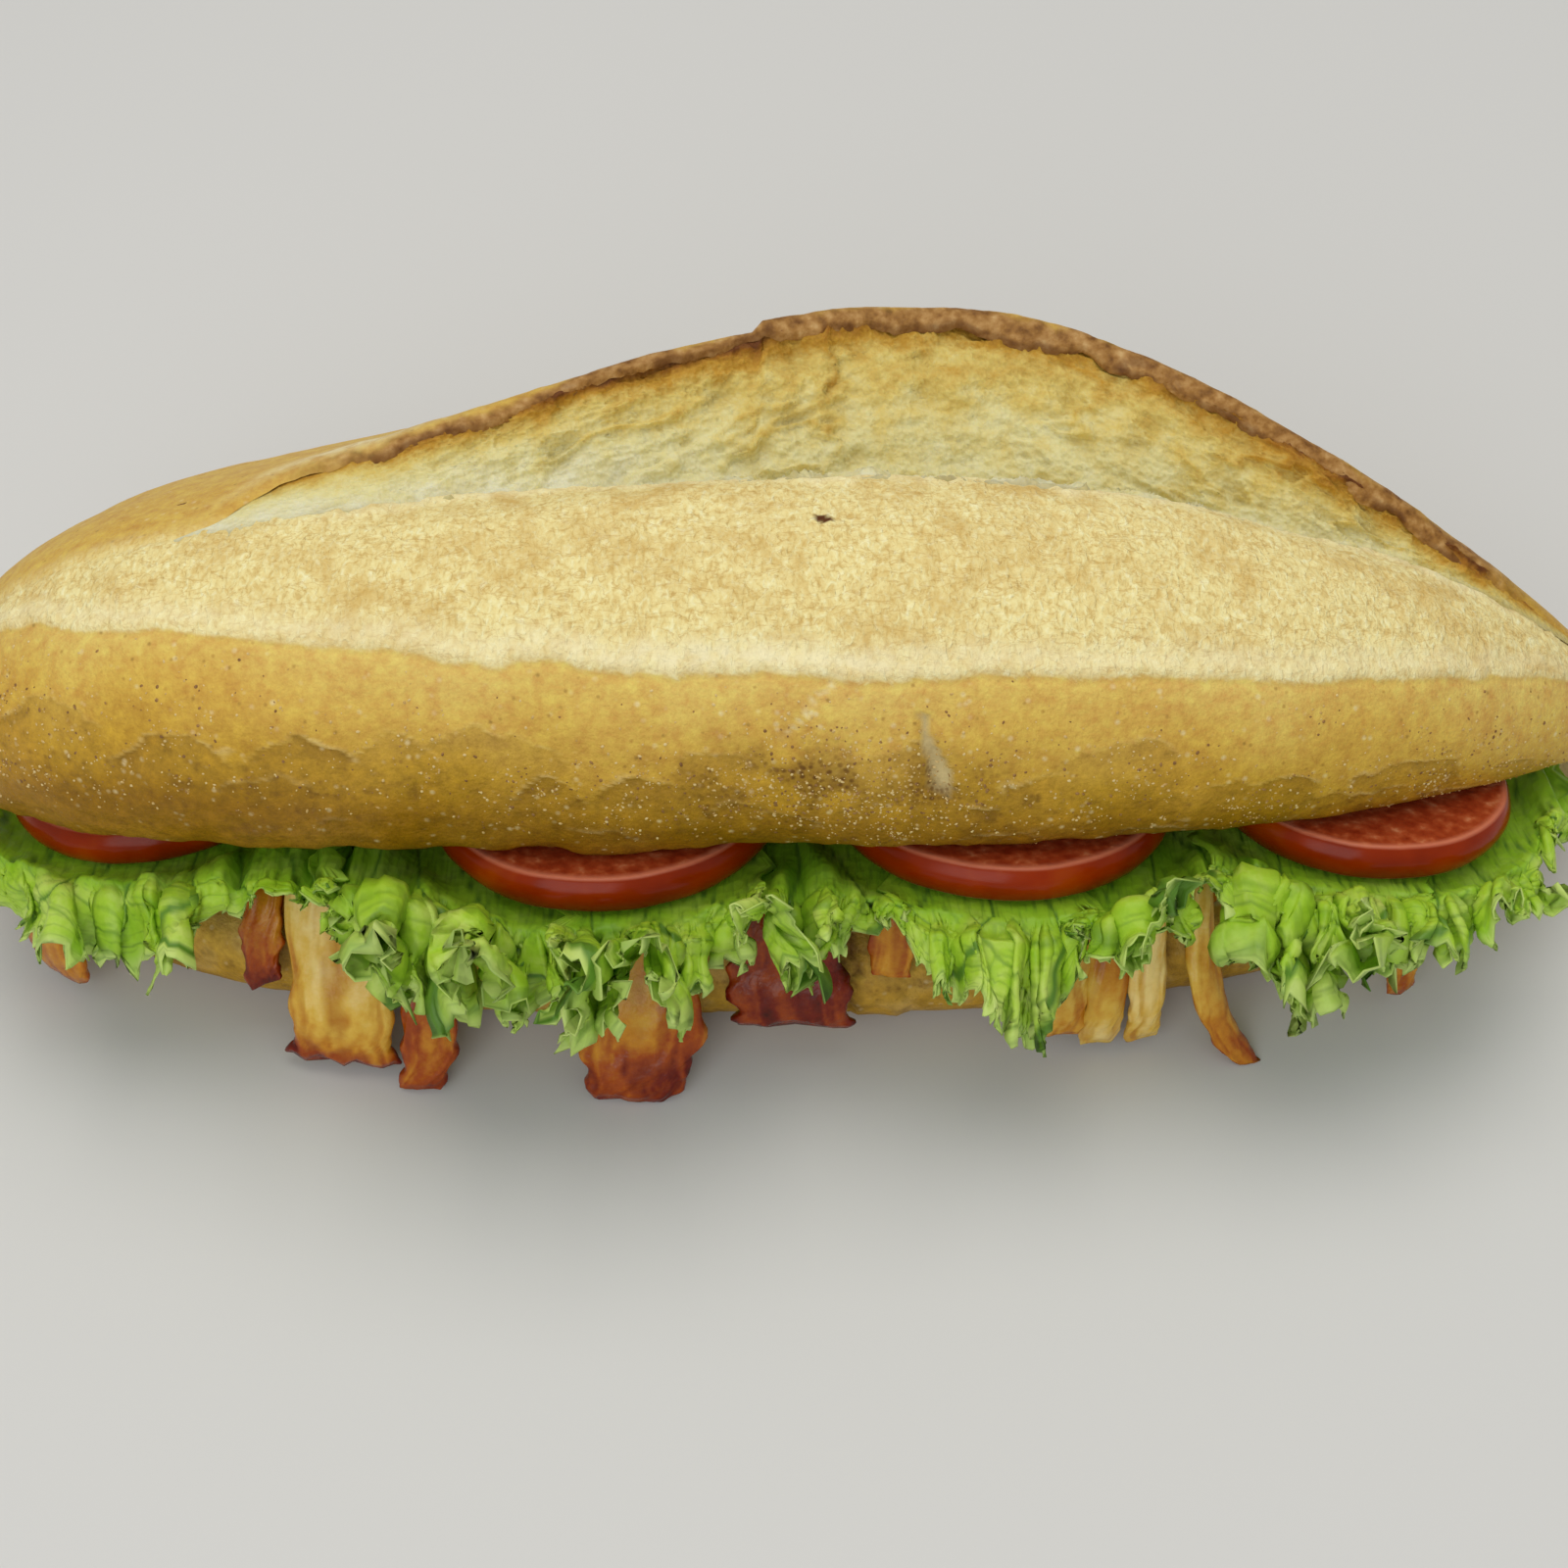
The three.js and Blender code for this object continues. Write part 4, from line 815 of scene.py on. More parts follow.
def back_of_crown(settings, material):
    """The back crust, whose thin lip rolls over the torn wall and ends in a ragged, burnt edge."""
    places = crowded_places(CROWN_COLUMNS)
    x_line = places * sided(places, LOAF_LENGTH)
    line = flat_points(x_line)
    opening = score_opening(places)
    lip = lip_angle(places)
    wide = mix(0.6, 1, smooth(LIP_STEP_X - 2, LIP_STEP_X + 2, x_line))
    strip = settings.lip_strip * wide * (1 + layered(line, 401, (0.22, 26), (0.25, 6)))
    strip = strip + layered(line, 403, (0.5, 2.4), (0.35, 1.1))
    end = mix(dome_edge(places) + 0.06, lip + 0.5 * WALL_ANGLE, smooth(0.0, 0.12, opening))
    turn = np.linspace(pi / 2, 0, EDGE_STEPS)[None, :-1]
    low_place = in_columns(places, (len(places), turn.shape[1]))
    behind = lip[:, None] * np.linspace(0, 1, BEHIND_LIP_STEPS)[None, :]
    before = mix(lip[:, None], end[:, None], np.linspace(0, 1, BEFORE_LIP_STEPS)[None, 1:])
    angle = np.concatenate([behind, before], axis=1)
    dome = crown(in_columns(places, angle.shape), angle)
    lines = np.concatenate([lower_edge(low_place, turn, 1), dome], axis=1)
    turns = np.concatenate([np.broadcast_to(-turn, low_place.shape), angle], axis=1)

    # Past the lip, the strip goes on for a few millimetres only, and where the score is shut up to the dome.
    along = along_rows(lines)
    whole = along[:, -1]
    at_lip = np.array([np.interp(*numbers) for numbers in zip(lip, turns, along)])
    ends = np.minimum(whole, mix(whole, at_lip + strip, smooth(0.0, 0.1, opening)))
    grid, angle = even_rows(lines, turns, BACK_ROWS, ends)
    near_lip = 0.5 * bump_at((angle - lip[:, None])[:, 1:-1], 0, 0.06)[..., None]
    for _ in range(10):  # rounds the lip off
        grid[:, 1:-1] = mix(grid[:, 1:-1], (grid[:, :-2] + grid[:, 2:]) / 2, near_lip)
    along = along_rows(grid)
    from_end = along[:, -1:] - along
    x = grid[..., 0]
    opened = np.broadcast_to(smooth(0.03, 0.25, opening)[:, None], x.shape)
    size = np.minimum(1, taper(places, DEPTH_TAPER) * 1.4)[:, None]

    standing = settings.lip_thickness * opened * smooth(26, 3, from_end)
    edge = -(settings.lip_thickness + 0.5) * opened * (1 - smooth(0, 0.9, from_end))
    edge = edge - 0.4 * (1 - opened) * smooth(3, 0, from_end)
    lumps = 0.55 * rough(grid, 24, 344, 2) + 0.22 * rough(grid, 7, 345, 2) + 0.05 * rough(grid, 2.2, 346, 3)
    crinkle = 0.25 * rough(grid, 4, 414, 3) * opened * smooth(14, 4, from_end)
    relief = (lumps + crinkle) * size + standing + edge
    grid = grid + relief[..., None] * outward(grid, CROWN_MIDDLE)

    soft_end = mix(0.12, 0.02, smooth(0.0, 0.1, opening))[:, None]
    pale = smooth(-soft_end, soft_end, angle - dome_edge(places)[:, None] + 0.02)
    strip_width = settings.lip_strip * wide[:, None]
    lip_strip = opened * smooth(1.25 * strip_width, 0.75 * strip_width, from_end + 1.2 * noise(grid, 5, 421))
    burnt = 0.55 * opened * smooth(1.7, 0.6, from_end + noise(grid, 4, 422))
    burnt = burnt * smooth(-0.2, 0.3, noise(grid, 7, 423))
    burnt = burnt + 0.45 * lip_strip * smooth(0.42, 0.7, rough(grid, (7, 2.2, 2.2), 424, 3))
    powder = bump_at(x, -84, 16) * bump_at(from_end, 8, 4)
    values = {
        "pale": pale * (1 - opened),
        "flour": np.clip(0.8 * powder, 0, 1),
        # Darker towards the lower edge, partly browning and partly painted shade; browner to the right near
        # the lip.
        "drop": 0.25 + 0.4 * smooth(30, 0, along) + 0.2 * smooth(40, 120, x) * smooth(40, 10, from_end),
        "bran": 0.4 * smooth(0.4, 0.7, noise(grid, 1.7, 425)) * smooth(40, 5, along),
        "char": np.clip(burnt, 0, 1),
        "toast": np.clip(lip_strip * 0.85 + 0.12 * opened * smooth(30, 8, from_end), 0, 1),
    }
    faces = grid_faces(*grid.shape[:2])
    make_piece("crown_back", grid, faces, material, ["bread_top"], values)


def crumb_wall(settings, material):
    """The torn wall of open crumb between the lip and the dome."""
    places = np.linspace(SCORE[0] + 0.002, SCORE[1] - 0.002, CRUMB_COLUMNS)
    opening = score_opening(places)
    lip = lip_angle(places)
    end = dome_edge(places) + 0.07
    angle = mix((lip + 0.02 * WALL_ANGLE)[:, None], end[:, None], np.linspace(0, 1, WALL_STEPS)[None, :])
    grid, _ = even_rows(crown(in_columns(places, angle.shape), angle), angle, CRUMB_ROWS)
    along = along_rows(grid)
    height = along[:, -1:]
    x = grid[..., 0]
    opened = np.broadcast_to(smooth(0, 0.35, opening)[:, None], x.shape)
    flat = flat_points(x, along + 0.12 * x)

    crags = rough(flat, (17, 9, 9), 501, 3)
    ledges = rough(flat, (9, 3.2, 3.2), 502, 3)
    big = cells(flat + 1.5 * noise(flat, 6, 503)[..., None], (8, 6, 6), 504)
    small = cells(flat + 0.7 * noise(flat, 2.5, 505)[..., None], (3.2, 2, 2), 506)
    pits = np.maximum(0, 0.62 - big[0]) * smooth(0.45, 0.6, big[2]) * 2.6
    small_pits = np.maximum(0, 0.5 - small[0]) * smooth(0.3, 0.5, small[2])
    walls = 0.5 * smooth(0.14, 0.0, small[1] - small[0])
    fine = 0.2 * rough(flat, 1.1, 507, 2)
    # Where two tongues of dough tore apart, thin ledges stand up along the wall.
    tears = 1 - np.abs(rough(flat_points(x, 2.2 * along + 0.15 * x), (17, 15, 15), 508, 3)) / 0.2
    tears = np.maximum(0, tears) ** 1.5 * smooth(-0.3, 0.3, noise(flat, 19, 509))
    relief = 1.8 * crags + 0.9 * ledges + 1.7 * tears - pits - small_pits + walls + fine
    relief = settings.crumb_relief * relief * opened - 0.3
    at_ends = smooth(0, 2.5, along) * smooth(0, 1.5, height - along)
    relief = mix(mix(-0.3, -0.7, opened), relief, at_ends)
    grid = grid + relief[..., None] * outward(grid, CROWN_MIDDLE)

    toast = 0.66 * (1 - along / height) ** 1.4 + 0.2 * bump_at(along, 0, 5) + 0.25 * smooth(60, 150, x)
    toast = toast + 0.10 * crags + 0.16 * tears + 0.3 * smooth(4, 0, along)
    # Painted shade in the pits, and a painted shadow along the wall's foot under the dome's torn edge.
    hollow = np.clip(0.22 * pits + 0.35 * small_pits + 0.6 * bump_at(height - along, 0, 2.5), 0, 1)
    values = {"toast": np.clip(toast, 0, 1), "hollow": hollow}
    faces = grid_faces(*grid.shape[:2])
    make_piece("torn_crumb", grid, faces, material, ["bread_top"], values)


# ---- Bottom of the loaf -----------------------------------------------------------------------------
BASE_COLUMNS = 320
BASE_MIDDLE = 12  # height of the line that the bottom half lies round
SIDE_POINTS, TOP_POINTS, UNDER_POINTS = 34, 20, 16  # of its outline: each crusty side, cut face, underside
CRACK_X = 14
CHUNK = (12, 25)  # x range of the broken piece of crust right of the crack


def base_outline():
    """Points [depth, z] round the bottom half's widest section, and how far each lies on its crusty side."""
    turns = np.linspace(-pi / 2, BASE_SIDE_END, SIDE_POINTS)
    side_y = BASE_FLAT_HALF_DEPTH + BASE_SIDE_DEPTH * np.cos(turns)
    side_z = BASE_SIDE_HEIGHT * (1 + np.sin(turns))
    top_half = side_y[-1] - 1
    top = [[y, BASE_HEIGHT] for y in np.linspace(top_half, -top_half, TOP_POINTS)]
    under_half = BASE_FLAT_HALF_DEPTH
    under = [[y, 0.0] for y in np.linspace(-under_half, under_half, UNDER_POINTS + 2)[1:-1]]
    back = np.stack([side_y, side_z], -1)
    front = np.stack([-side_y[::-1], side_z[::-1]], -1)
    outline = np.concatenate([back, top, front, under])
    return outline, np.repeat([1, 0, 1, 0.5], [SIDE_POINTS, TOP_POINTS, SIDE_POINTS, UNDER_POINTS])


def bottom_half(material):
    """The bottom half: a flat base, crusty sides that turn up at the tips, and the cut face on top."""
    outline, crust = base_outline()
    place = in_columns(crowded_places(BASE_COLUMNS), (BASE_COLUMNS, len(outline)))
    depth = outline[None, :, 0]
    z = outline[None, :, 1]
    height = taper(place, BASE_HEIGHT_TAPER)
    flat_share = 1 - smooth(BASE_UPTURN[0], BASE_UPTURN[1], np.abs(place))
    raised = mix(BASE_TIP_HEIGHT, z, height)
    lowered = np.where(z < BASE_TIP_HEIGHT, mix(raised, z, flat_share), raised)
    x = place * sided(place, BASE_LENGTH)
    y = depth * taper(place, BASE_DEPTH_TAPER) + bow(place)
    grid = np.stack([x, y, lowered], -1)
    normal = outward(grid, BASE_MIDDLE)
    side = np.broadcast_to(crust[None, :], x.shape)
    front = (depth < 0) * side
    scales = cells(grid + 1.5 * noise(grid, 5, 601)[..., None], (13, 10, 10), 602)
    crack_line = CRACK_X + layered(flat_points(0, 0, lowered), 603, (1.2, 4), (0.5, 1.3))
    crack = bump_at(x, crack_line, 0.55) * front * (z > 4)
    chunk = smooth(CHUNK[0], CHUNK[0] + 1.5, x - 1) * (1 - smooth(CHUNK[1] - 1.5, CHUNK[1], x)) * front
    chunk = chunk * smooth(4, 6, z) * (1 - smooth(20, 22, z))
    relief = 0.4 * rough(grid, 12, 605, 3) + 0.14 * rough(grid, 2.5, 606, 3)
    relief = relief + 0.35 * (scales[2] - 0.5) * smooth(0, 0.08, scales[1] - scales[0])
    relief = relief * side - 2.2 * crack + chunk * (0.8 + 0.5 * noise(grid, 6, 607))
    relief = np.where(z <= 0.01, 0, relief * smooth(0, 2, lowered))
    grid = grid + relief[..., None] * normal
    grid[..., 2] = np.maximum(grid[..., 2], 0)
    spots = smooth(0.25, 0.6, noise(grid, 1.7, 608)) + smooth(0.2, 0.6, noise(grid, 6, 609)) * 0.4
    values = {
        "flour": 0.1 * smooth(0.2, 0.7, noise(grid, 4, 610)) * side,
        "drop": np.clip(0.4 + 0.35 * smooth(18, 2, lowered), 0, 1),
        "patch": 0.3 * side * smooth(0.08, 0, scales[1] - scales[0]) + 0.3 * scales[2] * side,
        "bran": np.clip(0.55 * spots * side, 0, 1),
        "char": np.clip(0.8 * crack, 0, 1),
        "crumb": (1 - side) * (side < 0.3),
    }
    ring_piece("bottom_crust", grid, material, ["bread_bottom"], values)


# ---- Grains on the crust ----------------------------------------------------------------------------
def scatter_grains(name, grid, weight, count, sizes, flatness, material, seed):
    """Small uneven grains, half sunk where a weight over the grid's points says that they lie."""
    numbers = np.array(seeded_numbers(seed, count * 6)).reshape(count, 6)
    normals = outward(grid, CROWN_MIDDLE)
    chance = np.cumsum(weight.ravel())
    picked = np.searchsorted(chance, numbers[:, 0] * chance[-1])
    spots = grid.reshape(-1, 3)[picked]
    up = normals.reshape(-1, 3)[picked]
    aside = np.cross(up, [0.31, 0.2, 0.93])
    aside = aside / np.linalg.norm(aside, axis=-1, keepdims=True)
    other = np.cross(up, aside)
    spots = spots + 1.0 * (numbers[:, 1:2] - 0.5) * aside + 0.9 * (numbers[:, 2:3] - 0.5) * other
    size = mix(sizes[0], sizes[1], numbers[:, 3] ** 2.2)[:, None]
    turn = 2 * pi * numbers[:, 4:5]
    length = mix(0.7, 1.25, numbers[:, 5:6])
    first = aside * np.cos(turn) + other * np.sin(turn)
    second = np.cross(up, first)
    # Each grain is a squashed ring of six points under a smaller one of three.
    points, faces = [], []
    for k in range(6):
        around = 2 * pi * k / 6
        points.append(spots + size * 0.5 * (cos(around) * first * length + sin(around) * second / length))
    for k in range(3):
        around = 2 * pi * (k + 0.25) / 3
        ring = 0.28 * size * (cos(around) * first * length + sin(around) * second / length)
        points.append(spots + ring + 0.42 * size * flatness * up)
    points = np.stack(points, axis=1)
    shape = [(0, 1, 6), (1, 2, 7, 6), (2, 3, 7), (3, 4, 8, 7), (4, 5, 8), (5, 0, 6, 8), (6, 7, 8)]
    for grain in range(count):
        faces += [[9 * grain + corner for corner in face] for face in shape]
    return make_piece(name, points, faces, material)


# ---- Where the filling lies ---------------------------------------------------------------------------
def floor_at(x):
    """Height at which the filling lies on the bottom half."""
    height = taper(place_at(x, BASE_LENGTH), BASE_HEIGHT_TAPER)
    return mix(BASE_TIP_HEIGHT, BASE_HEIGHT, height) + GAP


def lid_at(x, y):
    """Height at which the filling touches the top half."""
    place = place_at(x)
    return cut_face(y - bow(place), place) - GAP


def bend_line(x):
    """The y at which the filling starts to bend down over the front edge."""
    place = place_at(x, BASE_LENGTH)
    return bow(place) - (BASE_HALF_DEPTH - BEND_INSET) * taper(place, BASE_DEPTH_TAPER)


def in_filling(x, s, n):
    """A point of the filling: x along the loaf, s out over the front edge and down, n off the bottom half."""
    x, s, n = np.broadcast_arrays(x, s, n)
    y = bend_line(x)
    floor = floor_at(x)
    angle = np.clip(s / BEND_RADIUS, 0, MOST_BEND)
    beyond = np.maximum(0, s - MOST_BEND * BEND_RADIUS)
    bent_y = y - (BEND_RADIUS + n) * np.sin(angle) - beyond * cos(MOST_BEND)
    bent_z = floor - BEND_RADIUS + (BEND_RADIUS + n) * np.cos(angle) - beyond * sin(MOST_BEND)
    return flat_points(x, np.where(s < 0, y - s, bent_y), np.where(s < 0, floor + n, bent_z))


def top_of_slice(name, x, y):
    """Height of the plane that a slice lies against."""
    middle, _, radius = TOMATOES[name]
    left, right = lid_at(middle - radius, y), lid_at(middle + radius, y)
    return mix(left, right, (x - middle + radius) / (2 * radius))


def underside_at(x, y):
    """Height of what chicken and lettuce lie under: the slices, and the same plane between them."""
    margin = 4
    height = lid_at(x, y)
    for name, (middle, _, radius) in TOMATOES.items():
        near = np.abs(x - middle) < radius + margin
        height = np.where(near, np.minimum(height, top_of_slice(name, x, y)), height)
    return height - TOMATO_DROP


def foremost(x):
    """Foremost y of bread and tomato near an x."""
    sideways = 5
    front = np.full(np.shape(x), 1e3)
    for at in (x - sideways, x, x + sideways):
        place = place_at(at)
        front = np.minimum(front, bow(place) - LOAF_HALF_DEPTH * taper(place, DEPTH_TAPER))
        for middle, slice_front, radius in TOMATOES.values():
            aside = np.abs(at - middle) / radius
            centre = slice_front + radius * cos(TOMATO_TILT)
            reach = radius * np.sqrt(np.maximum(0, 1 - aside**2)) * cos(TOMATO_TILT)
            front = np.where(aside < 1, np.minimum(front, centre - reach), front)
    return front


# ---- Tomato -------------------------------------------------------------------------------------------
SLICE_STEPS = 120
# Rings of a cut face, in shares of its radius.
SLICE_FACE = (0.0, 0.15, 0.3, 0.45, 0.58, 0.68, 0.76, 0.83, 0.88, 0.92, 0.95, 0.97, 0.985)
SKIN_RINGS = 15
SKIN_BULGE = 1.6


def tomato_slice(name, material, seed):
    """A slice under the lid: two cut faces, and the taut skin that bulges between them."""
    x, front, radius = TOMATOES[name]
    half = TOMATO_THICKNESS / 2
    face = np.array(SLICE_FACE)
    skin = np.linspace(1, -1, SKIN_RINGS)
    edge_radius = radius - SKIN_BULGE * skin**2
    radial = np.concatenate([face * edge_radius[0], edge_radius, face[::-1] * edge_radius[-1]])
    axial = half * np.concatenate([np.ones(len(face)), skin, -np.ones(len(face))])
    share = radial / radius
    turn = 2 * pi * np.arange(SLICE_STEPS) / SLICE_STEPS
    circle = flat_points(6 * np.cos(turn), 6 * np.sin(turn))
    uneven = 1 - 0.012 * (1 + noise(circle, 3, seed)) - 0.006 * (1 + noise(circle, 1.2, seed + 1))
    ring_radius = radial[None, :] * uneven[:, None]
    points = flat_points(ring_radius * np.cos(turn)[:, None], ring_radius * np.sin(turn)[:, None], axial)
    on_face = (np.abs(axial) >= half - 1e-6)[None, :] * smooth(1, 0.93, share)[None, :]
    flesh = 0.22 * rough(points, 4, seed + 2, 3) * on_face - 0.25 * on_face * smooth(0.9, 0.5, share)[None, :]
    points[..., 2] += np.sign(axial)[None, :] * np.minimum(flesh, 0)
    # It leans forward with the lid, and sideways with the lid's droop.
    y = front + radius * cos(TOMATO_TILT)
    rise = top_of_slice(name, x + radius, y) - top_of_slice(name, x - radius, y)
    lean = -np.arctan(rise / (2 * radius))
    px, py, pz = points[..., 0], points[..., 1], points[..., 2]
    leaned_x = px * np.cos(lean) + pz * np.sin(lean)
    leaned_z = -px * np.sin(lean) + pz * np.cos(lean)
    tilt = -TOMATO_TILT
    middle_z = top_of_slice(name, x, y) - (half + GAP) / cos(TOMATO_TILT)
    placed_y = y + py * cos(tilt) - leaned_z * sin(tilt)
    placed = flat_points(x + leaned_x, placed_y, middle_z + py * sin(tilt) + leaned_z * cos(tilt))
    # The outermost rings of skin are half flesh, and a light rim runs along both of them.
    # That rim is partly paler flesh and partly a painted highlight on the cut edge.
    first, last = len(face), len(face) + SKIN_RINGS - 1
    is_skin, is_rim = np.zeros(len(axial)), np.zeros(len(axial))
    is_skin[first : last + 1] = 1
    is_skin[[first, last]] = 0.5
    is_rim[[first - 1, first, last, last + 1]] = 1
    is_rim[[first - 2, last + 2]] = 0.4
    values = {
        "skin": np.broadcast_to(is_skin[None, :], px.shape),
        "rim": np.broadcast_to(0.8 * is_rim[None, :], px.shape),
    }
    closed = np.concatenate([placed, placed[:1]])
    carried = {key: np.concatenate([numbers, numbers[:1]]) for key, numbers in values.items()}
    faces = grid_faces(*closed.shape[:2])
    make_piece(name + "_cut", closed, faces, material, [name], carried)


# ---- Chicken ------------------------------------------------------------------------------------------
PIECE_ROOM = 5.6
LEAF_ROOM = 2.4
BED_HALF_LENGTH = 157
BED_FRONT = 3
BED_LIFT = 0.3
BED_COLUMNS = 150
BED_TOP_STEPS = 30
BED_UNDER_STEPS = 10
PIECE_RINGS = 50
FRAY_LANES = 64  # torn points across a hanging end


def bed_height(x, y):
    """Height of the bed of chicken over the bottom half, under the bread and under the slices."""
    behind_tomato = lid_at(x, y) - floor_at(x) - GAP
    piece_room = PIECE_ROOM * (1 - smooth(-24, -14, y))
    under_tomato = underside_at(x, y) - floor_at(x) - LEAF_ROOM - piece_room
    return np.clip(mix(under_tomato, behind_tomato, smooth(6, 14, y)), 0.8, 10.5)


def support(x, s):
    """Height of what the hanging pieces lie on: the bed, and past it the side of the bottom half."""
    clearance = 0.6
    over_bed = bed_height(x, bend_line(x) - np.minimum(s, 0)) + clearance
    return mix(over_bed, clearance, smooth(BED_FRONT - 2, BED_FRONT + 10, s))


# Each piece: seed, raggedness, its brownness inside and at its hanging end, and its stops, from inside the
# sandwich outwards: x, s, height over what it lies on, half width, half thickness.
CHICKEN = {
    "chicken_end_piece": (41, 0.13, 0.5, 0.6, [
        (-150, -3, 0, 5, 1.3), (-150, 5, 0, 6.6, 2.2), (-149, 17, 1, 7.5, 2.4), (-147, 27, 1.5, 4, 1.6)]),
    "chicken_bit": (44, 0.2, 0.5, 0.62, [
        (-102, -12, 0, 3, 1.8), (-102, 3, 0, 4, 2), (-103, 11, 1, 4, 2), (-103, 17, 1, 2.6, 1.2)]),
    "chicken_slab": (47, 0.08, 0.06, 0.66, [
        (-88, -22, 0, 8.4, 1.8), (-87.5, -4, 0, 9.6, 2.5), (-87, 12, 2, 10.2, 2.6), (-87.5, 24, 3, 9.8, 2.6),
        (-88.2, 31, 3.5, 8.9, 2.2)]),
    "chicken_red_lobe": (50, 0.17, 0.5, 0.7, [
        (-70, -10, 0, 4, 2), (-70, 6, 0, 5, 2.4), (-70, 24, 4, 5.4, 2.4), (-72.5, 34, 8, 3.4, 1.6)]),
    "chicken_lobe": (53, 0.13, 0.45, 0.74, [
        (-29, -16, 0, 9, 2), (-29, 2, 0, 11, 2.6), (-28.5, 18, 2, 12.4, 3), (-29, 28, 6, 10.5, 2.8),
        (-30, 34.5, 9, 6, 1.8)]),
    "chicken_dark_chunk": (56, 0.13, 0.66, 0.78, [
        (0, -12, 0, 8, 2), (0, 4, 0, 10.5, 2.4), (1, 15, 0, 12, 2.4), (2, 22, 0, 9, 1.8)]),
    "chicken_small_piece": (59, 0.13, 0.4, 0.5, [
        (20, -14, 0, 4, 1.8), (20.5, -2, 0, 4.6, 2.2), (21, 7, 0, 4.6, 2), (21, 12, 0, 3, 1.4)]),
    "chicken_strip_1": (62, 0.16, 0.3, 0.26, [
        (56, -14, 0, 3.2, 1.8), (56, 4, 0, 4.2, 2), (55.5, 20, 0, 4.8, 2), (55, 28, 0, 4, 1.6)]),
    "chicken_strip_2": (65, 0.13, 0.25, 0.12, [
        (64.6, -14, 0, 2.8, 1.8), (64.4, 4, 0, 3.9, 2), (63.8, 20, 0.5, 4.2, 2), (63, 31, 1, 3, 1.2)]),
    "chicken_strip_3": (68, 0.13, 0.2, 0.1, [
        (71.8, -14, 0, 2.4, 1.8), (71.8, 4, 0, 3.5, 2), (72, 20, 0.5, 3.6, 2), (72, 30, 1, 2.6, 1.2)]),
    "chicken_strip_4": (71, 0.13, 0.25, 0.45, [
        (80, -16, 0, 2.6, 1.8), (81, 2, 0, 3, 2.1), (84, 18, 1, 3.3, 2.1), (89, 29, 4, 3.2, 2.1),
        (93.5, 34.5, 8, 2.2, 1.5)]),
    "chicken_strip_5": (74, 0.13, 0.45, 0.5, [
        (125, -10, 0, 3, 1.8), (125, 6, 0, 3.4, 2), (125.5, 20, 1, 3.4, 2), (126, 29, 2.5, 2.4, 1.4)]),
}


def through_stops(stops, t):
    """Points on a smooth curve through the stops, for shares t of the way."""
    stops = np.asarray(stops, float)
    last = len(stops) - 1
    padded = np.concatenate([[2 * stops[0] - stops[1]], stops, [2 * stops[-1] - stops[-2]]])
    at = np.clip(t * last, 0, last - 1e-9)
    k = np.floor(at).astype(int)
    part = (at - k)[:, None]
    a, b, c, d = (padded[k + step] for step in range(4))
    cubic = 2 * b + (c - a) * part + (2 * a - 5 * b + 4 * c - d) * part**2
    return (cubic + (3 * b - a - 3 * c + d) * part**3) / 2


def chicken_piece(name, settings, material):
    """A flat, uneven piece of shaved meat with fibres along it and a frayed hanging end."""
    seed, raggedness, brown_inside, brown_end, stops = CHICKEN[name]
    widest = max(stop[3] for stop in stops)
    ring_points = int(40 + 4 * widest)
    t = np.linspace(0, 1, PIECE_RINGS)
    middle = through_stops(stops, t)
    turn = 2 * pi * np.arange(ring_points)[None, :] / ring_points
    c, d = np.cos(turn), np.sin(turn)
    t = t[:, None]
    ragged = 0.7 * wave(6 * t + c, seed, 1.9) + 0.25 * wave(15 * t - c, seed + 1, 2.7)
    ragged = 1 + raggedness * ragged
    uneven = 1 + 0.7 * raggedness * wave(8 * t + 3 * c, seed + 2, 1.3)
    x, s, lift = middle[:, 0:1], middle[:, 1:2], middle[:, 2:3]
    width, thickness = middle[:, 3:4] * (1 + 0.25 * smooth(0.75, 1, t)), middle[:, 4:5]
    across = width * np.sign(c) * np.abs(c) ** 0.7 * ragged
    over = thickness * np.sign(d) * np.abs(d) ** 0.8 * uneven
    over_side = np.where(d > 0, 1.0, -1.0)

    # Fibres run along the piece: ridges and splits that keep their place across it as they go along.
    spacing = settings.fibre_spacing
    bend = 0.8 * wave(s, seed + 3, 14)
    lane = flat_points((across + bend) / spacing, s / 9, over_side)
    ridges = noise(lane, 1, seed + 4) + 0.5 * noise(lane * [2.2, 1.5, 1], 1, seed + 5)
    splits = smooth(0.45, 0.75, noise(lane * [0.45, 0.6, 1] + 7, 1, seed + 6))
    body = smooth(0, 0.08, t) * smooth(1, 0.94, t)
    over = over + over_side * np.abs(d) ** 0.3 * (settings.fibre_relief * ridges - 0.25 * splits) * body
    fray_lane = np.clip(across / settings.fray_width + FRAY_LANES / 2, 0, FRAY_LANES - 2)
    fray = np.interp(fray_lane, np.arange(FRAY_LANES), seeded_numbers(seed + 7, FRAY_LANES))
    reach = s + smooth(0.7, 1, t) * (fray - 0.5) * 2.8 * settings.fraying
    closing = np.sqrt(np.clip(1 - smooth(0.9, 1.0, t) * 0.85, 0, 1))
    base = support(x, reach) + lift + thickness
    points = in_filling(x + across, reach, base + over * closing)
    points[..., 2] = np.maximum(points[..., 2], TABLE_GAP)
    blotches = rough(flat_points(across, 0.7 * s, over_side), 9, seed + 8, 3)
    brown = mix(brown_inside, brown_end, smooth(0.5, 0.97, t)) + 0.3 * blotches
    brown = brown + 0.08 * smooth(0.8, 1.0, np.abs(c)) * (brown_end > 0.4) + 0.1 * smooth(0.9, 1, t)
    brown = brown - 0.08 * ridges
    values = {
        "brown": np.clip(brown, 0, 1),
        # Painted shade in the grooves between the ridges and in the splits.
        "fibre": np.clip(0.3 * smooth(0.1, -0.8, ridges) + 0.35 * splits, 0, 1) * body,
    }
    ring_piece(name + "_shaved", points, material, [name], values)


